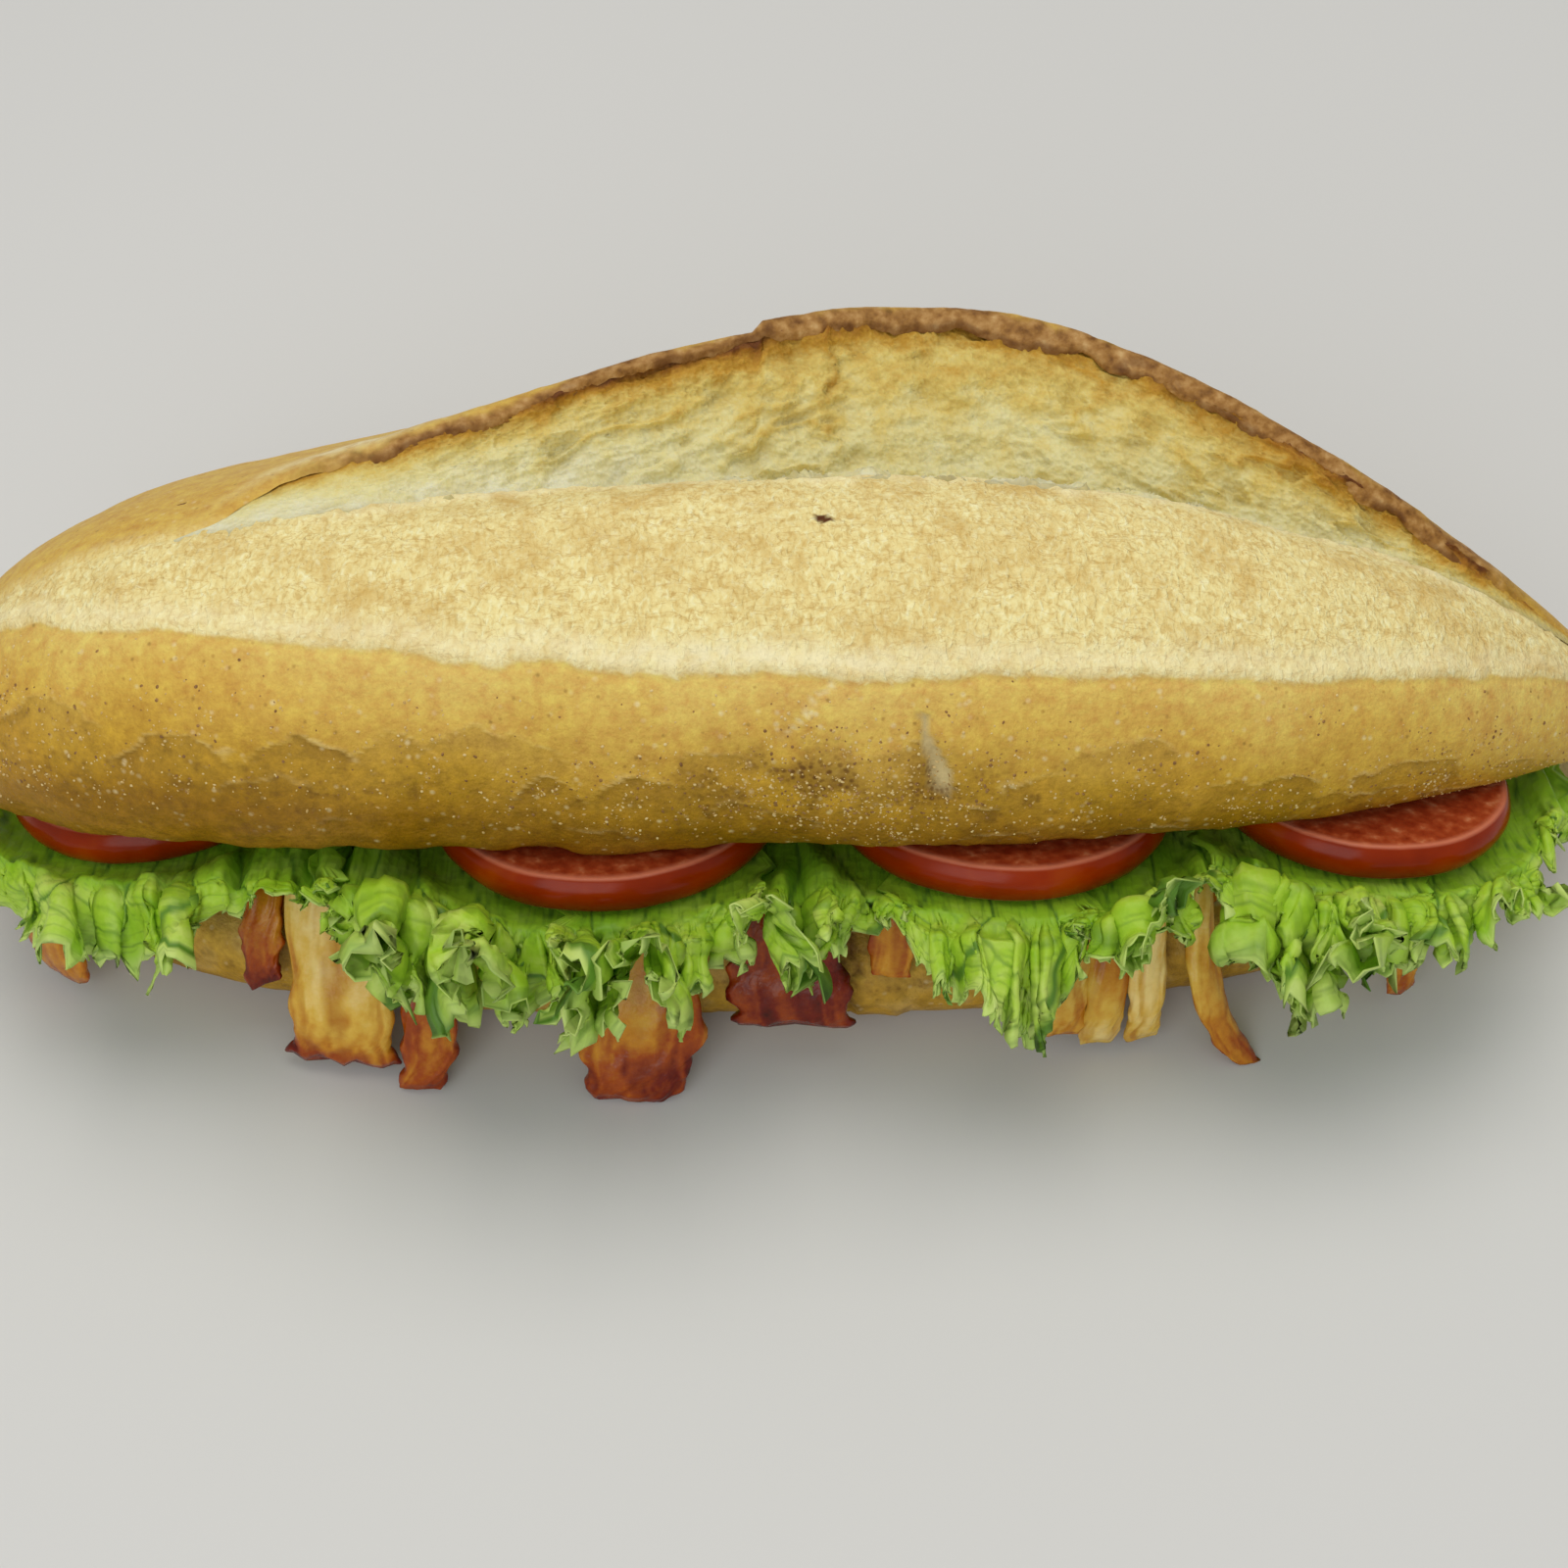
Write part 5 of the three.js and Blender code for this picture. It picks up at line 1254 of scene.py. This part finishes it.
def chicken_bed(material):
    """The heap of shaved meat inside, of which the front edge shows."""
    along = np.linspace(-1, 1, BED_COLUMNS)[:, None]
    x = BED_HALF_LENGTH * along
    place = place_at(x, BASE_LENGTH)
    narrow = mix(0.08, 1, np.sqrt(np.maximum(0, 1 - np.abs(along) ** 6)))
    back = (bend_line(x) - bow(place) - 50 * taper(place, BASE_DEPTH_TAPER)) * narrow
    front = BED_FRONT + 1.5 * wave(x, 31, 23)
    share = np.linspace(0, 1, BED_TOP_STEPS + 1)[None, :]
    s = mix(back, front, share)
    y = bend_line(x) - s
    edge = np.sqrt(np.clip(1 - np.abs(2 * share - 1) ** 8, 0, 1))
    lump = 0.9 + 0.1 * wave(x + 2.3 * s, 32, 13) + 0.05 * wave(s * 2 - x, 31, 23)
    flat = flat_points(x, s)
    shreds = rough(flat + 3 * noise(flat, 14, 701)[..., None], (2.2, 9, 9), 702, 3)
    height = BED_LIFT + bed_height(x, y) * edge * narrow * np.minimum(1, lump) - 0.9 * edge * (1 - shreds) / 2
    height = np.maximum(height, BED_LIFT)
    under_s = mix(back, front, np.linspace(1, 0, BED_UNDER_STEPS + 2)[None, 1:-1])
    s_ring = np.concatenate([s, under_s], axis=1)
    n_ring = np.concatenate([height, 0 * under_s], axis=1)
    points = in_filling(x, s_ring, n_ring)
    blotches = rough(points, 7, 703, 3)
    ring_shreds = np.concatenate([shreds, 0 * under_s], axis=1)
    values = {
        "brown": np.clip(0.42 + 0.45 * blotches, 0, 1),
        # Painted shade between the shreds.
        "fibre": np.clip(smooth(0.1, -0.6, ring_shreds), 0, 1),
    }
    ring_piece("chicken_bed_shaved", points, material, ["chicken_bed"], values)


# ---- Lettuce ------------------------------------------------------------------------------------------
HELD_LENGTH = 26
FREE_CLEARANCE = 2.2
LEAF_THICKNESS = 0.9
MARGIN_HEADING = -64  # degrees above the level, of the margin between its frills
LEAF_OVERLAP = 3.5  # mm by which neighbours overlap
FAN_ANGLE = 0.24  # between main veins
BRANCH_GAP = 6.5
LEAF_COLUMNS = 240
HELD_LEAF_ROWS = 9
FREE_LEAF_ROWS = 42
# Each leaf: where it starts and ends along the loaf, the length of its waves, how far they lean, its
# clearance, the height of its frills, where its margin curls up (x, width, degrees), and how far it hangs
# free at places x.
LEAVES = (
    dict(
        start=-160, end=-87, frill=25, lean=26, clear=8, frills=0.42, up=((-96, 5, 60),),
        reach=(
            (-160, 9), (-150, 15), (-140, 18), (-125, 19), (-114, 22), (-109, 12), (-103, 6), (-95, 4.5),
            (-87, 4),
        ),
    ),
    dict(
        start=-86, end=-41, frill=17, lean=40, clear=11.5, frills=1.15, up=((-73, 3, 70), (-57, 3.5, 80)),
        reach=((-86, 5), (-81, 10), (-77, 27), (-70, 23), (-63, 26), (-55, 22), (-48, 22), (-41, 20)),
    ),
    dict(
        start=-40, end=-7, frill=19, lean=34, clear=11, frills=0.9, up=((-40, 5, 115), (-28.5, 4.5, 120)),
        reach=((-40, 18), (-34, 25), (-28.5, 19), (-22, 23), (-16, 18), (-7, 14)),
    ),
    dict(
        start=-6, end=22, frill=16, lean=38, clear=8, frills=0.9, up=((-3.5, 4, 115), (9, 3, 50)),
        reach=((-6, 18), (2, 19), (8, 17), (13, 12), (18, 6), (22, 4)),
    ),
    dict(
        start=23, end=56, frill=21, lean=28, clear=7, frills=0.45, up=((30, 3, 50),),
        reach=((23, 13), (28, 18), (35, 20), (42, 25), (47, 30), (51, 25), (54, 14), (56, 9)),
    ),
    dict(
        start=57, end=83, frill=16, lean=34, clear=9, frills=0.9, up=((70, 5, 130), (80, 3, 50)),
        reach=((57, 8), (62, 14), (66, 16), (70, 19), (75, 11), (79, 7), (83, 6)),
    ),
    dict(
        start=84, end=120, frill=18, lean=40, clear=7.5, frills=1.05, up=((89, 3, 40), (108.5, 4.5, 120)),
        reach=((84, 12), (88, 19), (92, 27), (97, 29), (103, 27), (108, 21), (114, 19), (120, 14)),
    ),
    dict(
        start=121, end=158, frill=16, lean=36, clear=8, frills=0.95, up=((137, 4, 80), (148, 4, 60)),
        reach=((121, 13), (127, 15), (135, 13), (145, 11), (158, 8)),
    ),
)


def clear_of(x, y, z, clearance):
    """Moves places outwards to where they clear the chicken that hangs over the front edge."""
    centre_y, centre_z = bend_line(x), floor_at(x) - BEND_RADIUS
    least = BEND_RADIUS + clearance
    low = z < centre_z
    away_y, away_z = y - centre_y, z - centre_z
    distance = np.hypot(away_y, away_z) + 1e-9
    push = np.maximum(1, least / distance)
    over_y, over_z = centre_y + away_y * push, centre_z + away_z * push
    return np.where(low, np.minimum(y, centre_y - least), over_y), np.where(low, np.maximum(z, 1), over_z)


def lift_between(x, y):
    """How far a leaf bulges up between the tomato slices, where it has room under the bread."""
    outside = np.full(np.broadcast(x, y).shape, 1e3)
    for middle, slice_front, radius in TOMATOES.values():
        centre = slice_front + radius * cos(TOMATO_TILT)
        outside = np.minimum(outside, np.hypot(x - middle, (y - centre) / cos(TOMATO_TILT)) - radius)
    return 6 * smooth(1.5, 9, outside)


def hung_leaf(leaf, number, seed):
    """A leaf that hangs out from under the bread, and how far each row is down its free part."""
    share = np.linspace(0, 1, LEAF_COLUMNS)
    root = mix(leaf["start"] - LEAF_OVERLAP, leaf["end"] + LEAF_OVERLAP, share)
    length = np.interp(root, *zip(*leaf["reach"]))
    to_end = np.minimum(root - root[0], root[-1] - root)
    frill = leaf["frill"]
    length = length * mix(0.4, 1, smooth(-1, 6, to_end)) * (1 + 0.08 * wave(root, seed + 1, 1.5 * frill))
    ruffle = wave(root, seed, frill)
    margin = MARGIN_HEADING + 1.2 * leaf["lean"] * ruffle
    for middle, width, turned in leaf["up"]:
        margin = mix(margin, MARGIN_HEADING + turned, bump_at(root, middle, width))
    margin = np.radians(margin)
    in_front = 1.4 * (number % 2)  # so that neighbours pass each other
    held = foremost(root) - FREE_CLEARANCE - in_front
    y = held + HELD_LENGTH * np.linspace(1, 0, HELD_LEAF_ROWS)[:, None]
    bulge = lift_between(root, y) * np.clip(0.75 + 0.4 * wave(root, seed + 6, 12), 0.3, 1)
    z = underside_at(root, y) - LEAF_THICKNESS - in_front + bulge
    uneven = 2.5 * wave(y, seed + 7, 15) * smooth(8, 0, to_end)
    rows = [(root + uneven[k], y[k], z[k]) for k in range(HELD_LEAF_ROWS)]
    y, z = y[-1], z[-1]
    # Towards the margin its waves fold over sideways.
    fold = -0.2 * frill * leaf["frills"] * ruffle * np.gradient(ruffle, root) * frill / (2 * pi)
    coming_out = TOMATO_TILT + radians(38) * wave(root, seed + 5, 0.9 * frill) - radians(8)
    step = length / FREE_LEAF_ROWS
    for k in range(1, FREE_LEAF_ROWS + 1):
        free = k / FREE_LEAF_ROWS
        heading = mix(coming_out, margin, free**0.6)
        y, z = clear_of(root, y - step * np.cos(heading), z + step * np.sin(heading), leaf["clear"])
        rows.append((root + fold * free, y, z))
    free = np.concatenate([np.zeros(HELD_LEAF_ROWS), np.arange(1, FREE_LEAF_ROWS + 1) / FREE_LEAF_ROWS])
    return np.transpose(np.array(rows), (2, 0, 1)), free[None, :]


def frilled(grid, free, height, wavelength, rise, seed):
    """Adds frills that grow towards the margin, run a little askew and fold over sideways."""
    arc = along_rows(grid[None, :, -5]).T
    askew = 2.2 * wave(arc, seed + 1, 4 * wavelength) + 1.2 * wave(arc + 20 * free, seed + 3, 3 * wavelength)
    phase = 2 * pi * arc / wavelength + 1.8 * wave(arc, seed, 3.7 * wavelength) + free * askew
    share = smooth(0, 0.2, free) * mix(0.4, 1, free**rise)
    share = share * np.clip(0.8 + 0.5 * wave(arc + 9 * free, seed + 2, 2.3 * wavelength), 0.35, 1.4)
    tangent = np.gradient(grid, axis=0)
    tangent = tangent / (np.linalg.norm(tangent, axis=-1, keepdims=True) + 1e-9)
    aside = -0.15 * wavelength * share * np.sin(2 * phase)
    return grid + (height * share * np.sin(phase))[..., None] * normals_of(grid) + aside[..., None] * tangent


def keep_clear(grid, clearance, free):
    """Keeps a leaf's points out of the bread, the slices and the chicken, and off the table."""
    x, y, z = grid[..., 0], grid[..., 1], grid[..., 2]
    clear_y, clear_z = clear_of(x, y, z, clearance)
    front = foremost(x) - 1.2
    # Behind the front of bread and tomato a point goes down under the slices, or out where that is nearer.
    for _ in range(3):
        top = underside_at(x, np.minimum(clear_y, front)) + lift_between(x, np.minimum(clear_y, front)) - 0.6
        behind, above = np.maximum(clear_y - front, 0), np.maximum(clear_z - top, 0)
        out = above**4 / (above**4 + behind**4 + 1e-9)
        clear_y, clear_z = clear_y - out * behind, clear_z - (1 - out) * above
    loose = free > 0
    return flat_points(x, np.where(loose, clear_y, y), np.where(loose, np.maximum(clear_z, 0.8), z))


def vein_pattern(u, v, leaf, seed):
    """Main veins that fan out from the root and branch into a fine net, as 1 on a vein."""
    tip = max(leaf["reach"], key=lambda stop: stop[1])[0]
    wander = 2.2 * noise(flat_points(u, v), 13, seed)
    lane = np.arctan2(u - tip + wander, v + 16) / FAN_ANGLE
    off = np.abs(lane - np.round(lane)) * FAN_ANGLE * (v + 16)
    main = smooth(0.55, 0.15, off)
    branch = (np.abs(u - tip) * 0.8 + v * 0.6 + 1.5 * noise(flat_points(u, v), 6, seed + 1)) / BRANCH_GAP
    off = np.abs(branch - np.round(branch)) * BRANCH_GAP
    side = 0.6 * smooth(0.4, 0.1, off)
    near, following, _ = cells(flat_points(u, v), 2.8, seed + 2)
    net = 0.35 * smooth(0.1, 0.02, following - near)
    return np.maximum(np.maximum(main, side), net)


def lettuce_leaf(number, settings, material):
    """A leaf with broad folds, finer frills, a lobed margin and veins."""
    leaf = LEAVES[number]
    seed = 80 + 3 * number
    grid, free = hung_leaf(leaf, number, seed)
    # It buckles in broad folds, its margin in smaller ones, and both are calmer where it is short.
    root = mix(leaf["start"], leaf["end"], np.linspace(0, 1, LEAF_COLUMNS))
    length = np.interp(root, *zip(*leaf["reach"]))
    to_end = np.minimum(root - root[0], root[-1] - root)
    calmer = np.clip(length / 13, 0.4, 1) * mix(0.3, 1, smooth(0, 7, to_end))
    height = settings.ruffle * leaf["frills"] * calmer[:, None]
    flat = flat_points(root[:, None], 1.3 * length[:, None] * free)
    creased = 1 - 2.6 * np.abs(noise(flat + 2 * noise(flat, 9, seed + 29)[..., None], 16, seed + 28))
    buckled = 0.8 * noise(flat, 11, seed + 27) + 0.55 * creased
    grid = grid + (3.4 * height * buckled * smooth(0, 0.3, free))[..., None] * normals_of(grid)
    grid = frilled(grid, free, 3.6 * height, 21, 1.0, seed + 31)
    grid = keep_clear(grid, leaf["clear"] - 0.5, free)
    grid = frilled(grid, free, 1.4 * height, 10.5, 2.2, seed + 35)
    grid = frilled(grid, free, 0.3 * height, 4.2, 5, seed + 39)
    grid = keep_clear(grid, leaf["clear"] - 2.5, free)
    columns, rows = grid.shape[:2]
    # The margin is cut back into lobes with small teeth.
    arc = along_rows(grid[None, :, -1])[0]
    lobes = 4.4 * (1 - np.abs(np.sin(pi * arc / 13 + 1.5 * wave(arc, seed + 11, 60))))
    teeth = 2.0 * (1 - np.abs(np.sin(pi * arc / 5 + wave(arc, seed + 12, 30))))
    cut_back = (4.8 - lobes - teeth + 0.4 * noise(flat_points(arc), 1.8, seed + 13)) / np.maximum(length, 8)
    at = np.arange(rows)[None, :] - cut_back[:, None] * free**2.5 * FREE_LEAF_ROWS
    at = np.clip(at, 0, rows - 1.001)
    low = at.astype(int)
    index = np.arange(columns)[:, None]
    grid = mix(grid[index, low], grid[index, low + 1], (at - low)[..., None])

    u = np.broadcast_to(root[:, None], at.shape)
    v = HELD_LENGTH * np.clip(at / HELD_LEAF_ROWS, 0, 1) + length[:, None] * free
    vein = vein_pattern(u, v, leaf, seed + 20)
    near = cells(flat_points(u * 1.5, v), 6, seed + 24)[0]
    blister = 0.3 * (0.6 - near) * smooth(0, 0.15, free) * smooth(1, 0.8, free)
    grid = grid + (blister - 0.25 * vein)[..., None] * normals_of(grid)
    margin = smooth(0.72, 1.0, free) * (0.75 + 0.25 * noise(grid, 5, seed + 25))
    # Painted shade: darker near the root, under the bread and slices, and in soft random patches.
    deep = 0.6 * smooth(0.15, 0.0, free) + 0.4 * smooth(0.1, 0.7, noise(grid, 9, seed + 26))
    thickness = np.broadcast_to(settings.leaf_thickness * mix(1.2, 0.6, smooth(0.1, 1, free)), at.shape)
    values = {"vein": vein, "margin": np.clip(margin, 0, 1), "deep": np.clip(deep, 0, 1)}
    name = f"lettuce_leaf_{number + 1}"
    sheet_piece(name + "_curly", grid, thickness, material, [name], values)


# ---- Settings that a user can change -------------------------------------------------------------------
def number_property(name, description, default, **limits):
    return bpy.props.FloatProperty(name=name, description=description, default=default, **limits)


def colour_property(name, description, colour):
    default = linear(colour)[:3]
    return bpy.props.FloatVectorProperty(
        name=name, description=description, subtype="COLOR", size=3, min=0, max=1, default=default
    )


class BreadSettings(bpy.types.PropertyGroup):
    """Sizes in millimetres and colours of the loaf."""

    lip_strip: number_property("Lip strip", "How far the crust rolls over the torn wall, in mm", 6.0, min=0)
    lip_thickness: number_property(
        "Lip thickness", "Thickness of the crust at its torn lip, in mm", 0.6, min=0
    )
    crumb_relief: number_property(
        "Crumb relief", "Depth of the torn crumb's crags, where 1 is the photo's", 1.0
    )
    grain_count: bpy.props.IntProperty(
        name="Grains", description="Number of semolina grains on the front crust", default=2600, min=0
    )
    scale_colour: colour_property("Scales", "Shaded upper part of the front crust's scales", "#8c6414")
    toasted_colour: colour_property("Toasted felt", "Toasted patches of the pale dome", "#d2ab59")
    flour_colour: colour_property("Flour", "Flour that clings to the dome", "#f8edbe")
    bran_colour: colour_property("Bran", "Bran and brown specks on the crust", "#6f4a14")
    crumb_colour: colour_property("Crumb", "Inside of the loaf where it is cut", "#d2bd84")
    crumb_hollow_colour: colour_property("Crumb hollows", "Shade inside the crumb's holes", "#bba86a")
    burnt_colour: colour_property("Burnt edge", "Burnt edge of the lip", "#5c3212")


class TomatoSettings(bpy.types.PropertyGroup):
    """Colours of the tomato slices."""

    rim_colour: colour_property("Rim", "Light line where the skin was cut", "#cf7b5c")


class ChickenSettings(bpy.types.PropertyGroup):
    """Sizes in millimetres and colours of the shaved chicken."""

    fibre_spacing: number_property("Fibre spacing", "Width of a bundle of fibres, in mm", 1.1, min=0.1)
    fibre_relief: number_property("Fibre relief", "Height of the fibres, in mm", 0.13, min=0)
    fray_width: number_property(
        "Fray width", "Width of the torn points of the hanging ends, in mm", 2.6, min=0.1
    )
    fraying: number_property("Fraying", "How unevenly the hanging ends are torn", 1.0, min=0)
    groove_colour: colour_property("Grooves", "Shade between the fibres", "#c49a62")


class LettuceSettings(bpy.types.PropertyGroup):
    """Sizes in millimetres and colours of the lettuce."""

    ruffle: number_property("Ruffle", "Height of the leaves' frills, where 1 is the photo's", 1.0, min=0)
    leaf_thickness: number_property("Leaf thickness", "Thickness of a leaf, in mm", 0.5, min=0.05)
    # Painted shade of the leaf near its root and in random patches.
    leaf_shade_colour: colour_property("Inner leaf", "Leaf near its root and in its folds", "#94cc2c")
    margin_colour: colour_property("Margin", "Frilled margin", "#ddf090")
    vein_colour: colour_property("Veins", "Thin veins", "#6a9a30")


class StageSettings(bpy.types.PropertyGroup):
    """The floor and the lights."""

    floor_size: number_property("Floor size", "Side of the floor", 6.0, min=1, unit="LENGTH")
    floor_colour: colour_property("Floor", "Pale plain floor", "#d9d9d6")
    main_light: number_property("Main light", "Large soft light overhead", 9.0, min=0, unit="POWER")
    front_light: number_property(
        "Front light", "Weaker soft light from the front", 5.2, min=0, unit="POWER"
    )
    sky_light: number_property("Sky", "Strength of the even light from all round", 0.45, min=0)


# ---- Operators -------------------------------------------------------------------------------------------
class SANDWICH_OT_loaf_top(bpy.types.Operator):
    """Builds the top of the loaf: dome, front crust, back crust with its lip, torn crumb and grains"""

    bl_idname = "sandwich.loaf_top"
    bl_label = "Loaf top"

    def execute(self, context):
        settings = context.scene.sandwich_bread
        crust = baked_crust(settings)
        grid, below, pale = front_of_crown(crust)
        back_of_crown(settings, crust)
        crumb_wall(settings, torn_crumb(settings))
        # Most grains lie low on the side and round the patch of bran.
        weight = smooth(0, 14, below) * (0.35 + smooth(8, 30, below)) * (1 - pale)
        weight = weight * smooth(1.2, 0.6, below / 34)
        gathered = smooth(-0.1, 0.5, noise(grid, 7, 361))
        weight = weight * (0.25 + gathered + 2.5 * bump_at(grid[..., 0], 12, 26))
        count = settings.grain_count
        semolina = grain_material("semolina grain", "#c0984e", "#e2ca8c", 1.1)
        scatter_grains("semolina_grains", grid, weight, count, (0.28, 0.72), 0.8, semolina, 801)
        bran = grain_material("bran flake", "#7a5222", "#a87d40", 1.3)
        scatter_grains("bran_flakes", grid, weight, count // 3, (0.35, 0.85), 0.5, bran, 802)
        return {"FINISHED"}


class SANDWICH_OT_loaf_bottom(bpy.types.Operator):
    """Builds the bottom of the loaf with its cracked crust"""

    bl_idname = "sandwich.loaf_bottom"
    bl_label = "Loaf bottom"

    def execute(self, context):
        crust = bpy.data.materials.get("baked wheat crust") or baked_crust(context.scene.sandwich_bread)
        bottom_half(crust)
        return {"FINISHED"}


class SANDWICH_OT_tomatoes(bpy.types.Operator):
    """Lays the tomato slices under the lid"""

    bl_idname = "sandwich.tomatoes"
    bl_label = "Tomato slices"

    def execute(self, context):
        material = ripe_tomato(context.scene.sandwich_tomato)
        for number, name in enumerate(TOMATOES):
            tomato_slice(name, material, 900 + 5 * number)
        return {"FINISHED"}


class SANDWICH_OT_chicken(bpy.types.Operator):
    """Fills the loaf with shaved chicken"""

    bl_idname = "sandwich.chicken"
    bl_label = "Shaved chicken"

    def execute(self, context):
        settings = context.scene.sandwich_chicken
        material = roast_chicken(settings)
        chicken_bed(material)
        for name in CHICKEN:
            chicken_piece(name, settings, material)
        return {"FINISHED"}


class SANDWICH_OT_lettuce(bpy.types.Operator):
    """Grows the curly lettuce leaves"""

    bl_idname = "sandwich.lettuce"
    bl_label = "Curly lettuce"

    def execute(self, context):
        settings = context.scene.sandwich_lettuce
        material = curly_lettuce(settings)
        for number in range(len(LEAVES)):
            lettuce_leaf(number, settings, material)
        return {"FINISHED"}


CAMERA_ELEVATION = radians(48)
CAMERA_PLACE = (0.0, -352.5, 401.3)  # in loaf millimetres
CAMERA_LENS = 55.67


def add_light(name, place, aim, size, power, colour):
    """A large square area light that faces a point."""
    light = bpy.data.lights.new(name, "AREA")
    light.energy = power
    light.size = size
    light.color = linear(colour)[:3]
    lamp = bpy.data.objects.new(name, light)
    lamp.location = place
    direction = np.array(place) - np.array(aim)
    lamp.rotation_euler = (
        float(np.arctan2(np.hypot(direction[0], direction[1]), direction[2])),
        0.0,
        float(np.arctan2(direction[0], -direction[1])),
    )
    bpy.context.scene.collection.objects.link(lamp)


class SANDWICH_OT_stage(bpy.types.Operator):
    """Adds the camera, a pale floor and soft studio light"""

    bl_idname = "sandwich.stage"
    bl_label = "Stage"

    def execute(self, context):
        settings = context.scene.sandwich_stage
        scene = context.scene
        lens = bpy.data.cameras.new("camera")
        lens.lens = CAMERA_LENS
        lens.sensor_width = 36
        lens.clip_start = 0.01
        camera = bpy.data.objects.new("camera", lens)
        camera.location = [float(value) for value in (np.array(CAMERA_PLACE) + ORIGIN) * MM]
        camera.rotation_euler = (pi / 2 - CAMERA_ELEVATION, 0, 0)
        scene.collection.objects.link(camera)
        scene.camera = camera

        half = settings.floor_size / 2
        mesh = bpy.data.meshes.new("floor")
        corners = [(-half, -half, 0), (half, -half, 0), (half, half, 0), (-half, half, 0)]
        mesh.from_pydata(corners, [], [range(4)])
        floor = bpy.data.objects.new("floor", mesh)
        scene.collection.objects.link(floor)
        mesh.materials.append(plain_floor(settings))

        world = bpy.data.worlds.new("studio")
        scene.world = world
        world.use_nodes = True
        world.node_tree.nodes["Background"].inputs["Color"].default_value = linear("#f2f4f7")
        world.node_tree.nodes["Background"].inputs["Strength"].default_value = settings.sky_light
        add_light("overhead", (0.0, 0.25, 1.3), (0, 0, 0.05), 1.2, settings.main_light, "#fffaf2")
        add_light("front", (-0.35, -1.1, 0.7), (0, 0, 0.05), 0.9, settings.front_light, "#fbfcff")
        scene.view_settings.view_transform = "Standard"
        scene.view_settings.look = "None"
        return {"FINISHED"}


OPERATORS = (
    SANDWICH_OT_stage,
    SANDWICH_OT_loaf_top,
    SANDWICH_OT_loaf_bottom,
    SANDWICH_OT_tomatoes,
    SANDWICH_OT_chicken,
    SANDWICH_OT_lettuce,
)
SETTINGS = {
    "sandwich_bread": BreadSettings,
    "sandwich_tomato": TomatoSettings,
    "sandwich_chicken": ChickenSettings,
    "sandwich_lettuce": LettuceSettings,
    "sandwich_stage": StageSettings,
}


class SANDWICH_PT_panel(bpy.types.Panel):
    """Lists the steps that build the sandwich, and their settings"""

    bl_idname = "SANDWICH_PT_panel"
    bl_label = "Sandwich"
    bl_space_type = "VIEW_3D"
    bl_region_type = "UI"
    bl_category = "Sandwich"

    def draw(self, context):
        for operator in OPERATORS:
            self.layout.operator(operator.bl_idname)
        for name, group in SETTINGS.items():
            box = self.layout.box()
            box.label(text=group.__doc__)
            for key in group.__annotations__:
                box.prop(getattr(context.scene, name), key)


def register():
    for group in SETTINGS.values():
        bpy.utils.register_class(group)
    for operator in OPERATORS:
        bpy.utils.register_class(operator)
    bpy.utils.register_class(SANDWICH_PT_panel)
    for name, group in SETTINGS.items():
        setattr(bpy.types.Scene, name, bpy.props.PointerProperty(type=group))


def unregister():
    for name in SETTINGS:
        delattr(bpy.types.Scene, name)
    bpy.utils.unregister_class(SANDWICH_PT_panel)
    for operator in reversed(OPERATORS):
        bpy.utils.unregister_class(operator)
    for group in reversed(list(SETTINGS.values())):
        bpy.utils.unregister_class(group)


def main():
    register()
    bpy.ops.sandwich.stage()
    bpy.ops.sandwich.loaf_top()
    bpy.ops.sandwich.loaf_bottom()
    bpy.ops.sandwich.tomatoes()
    bpy.ops.sandwich.chicken()
    bpy.ops.sandwich.lettuce()
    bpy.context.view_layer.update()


if __name__ == "__main__":
    main()
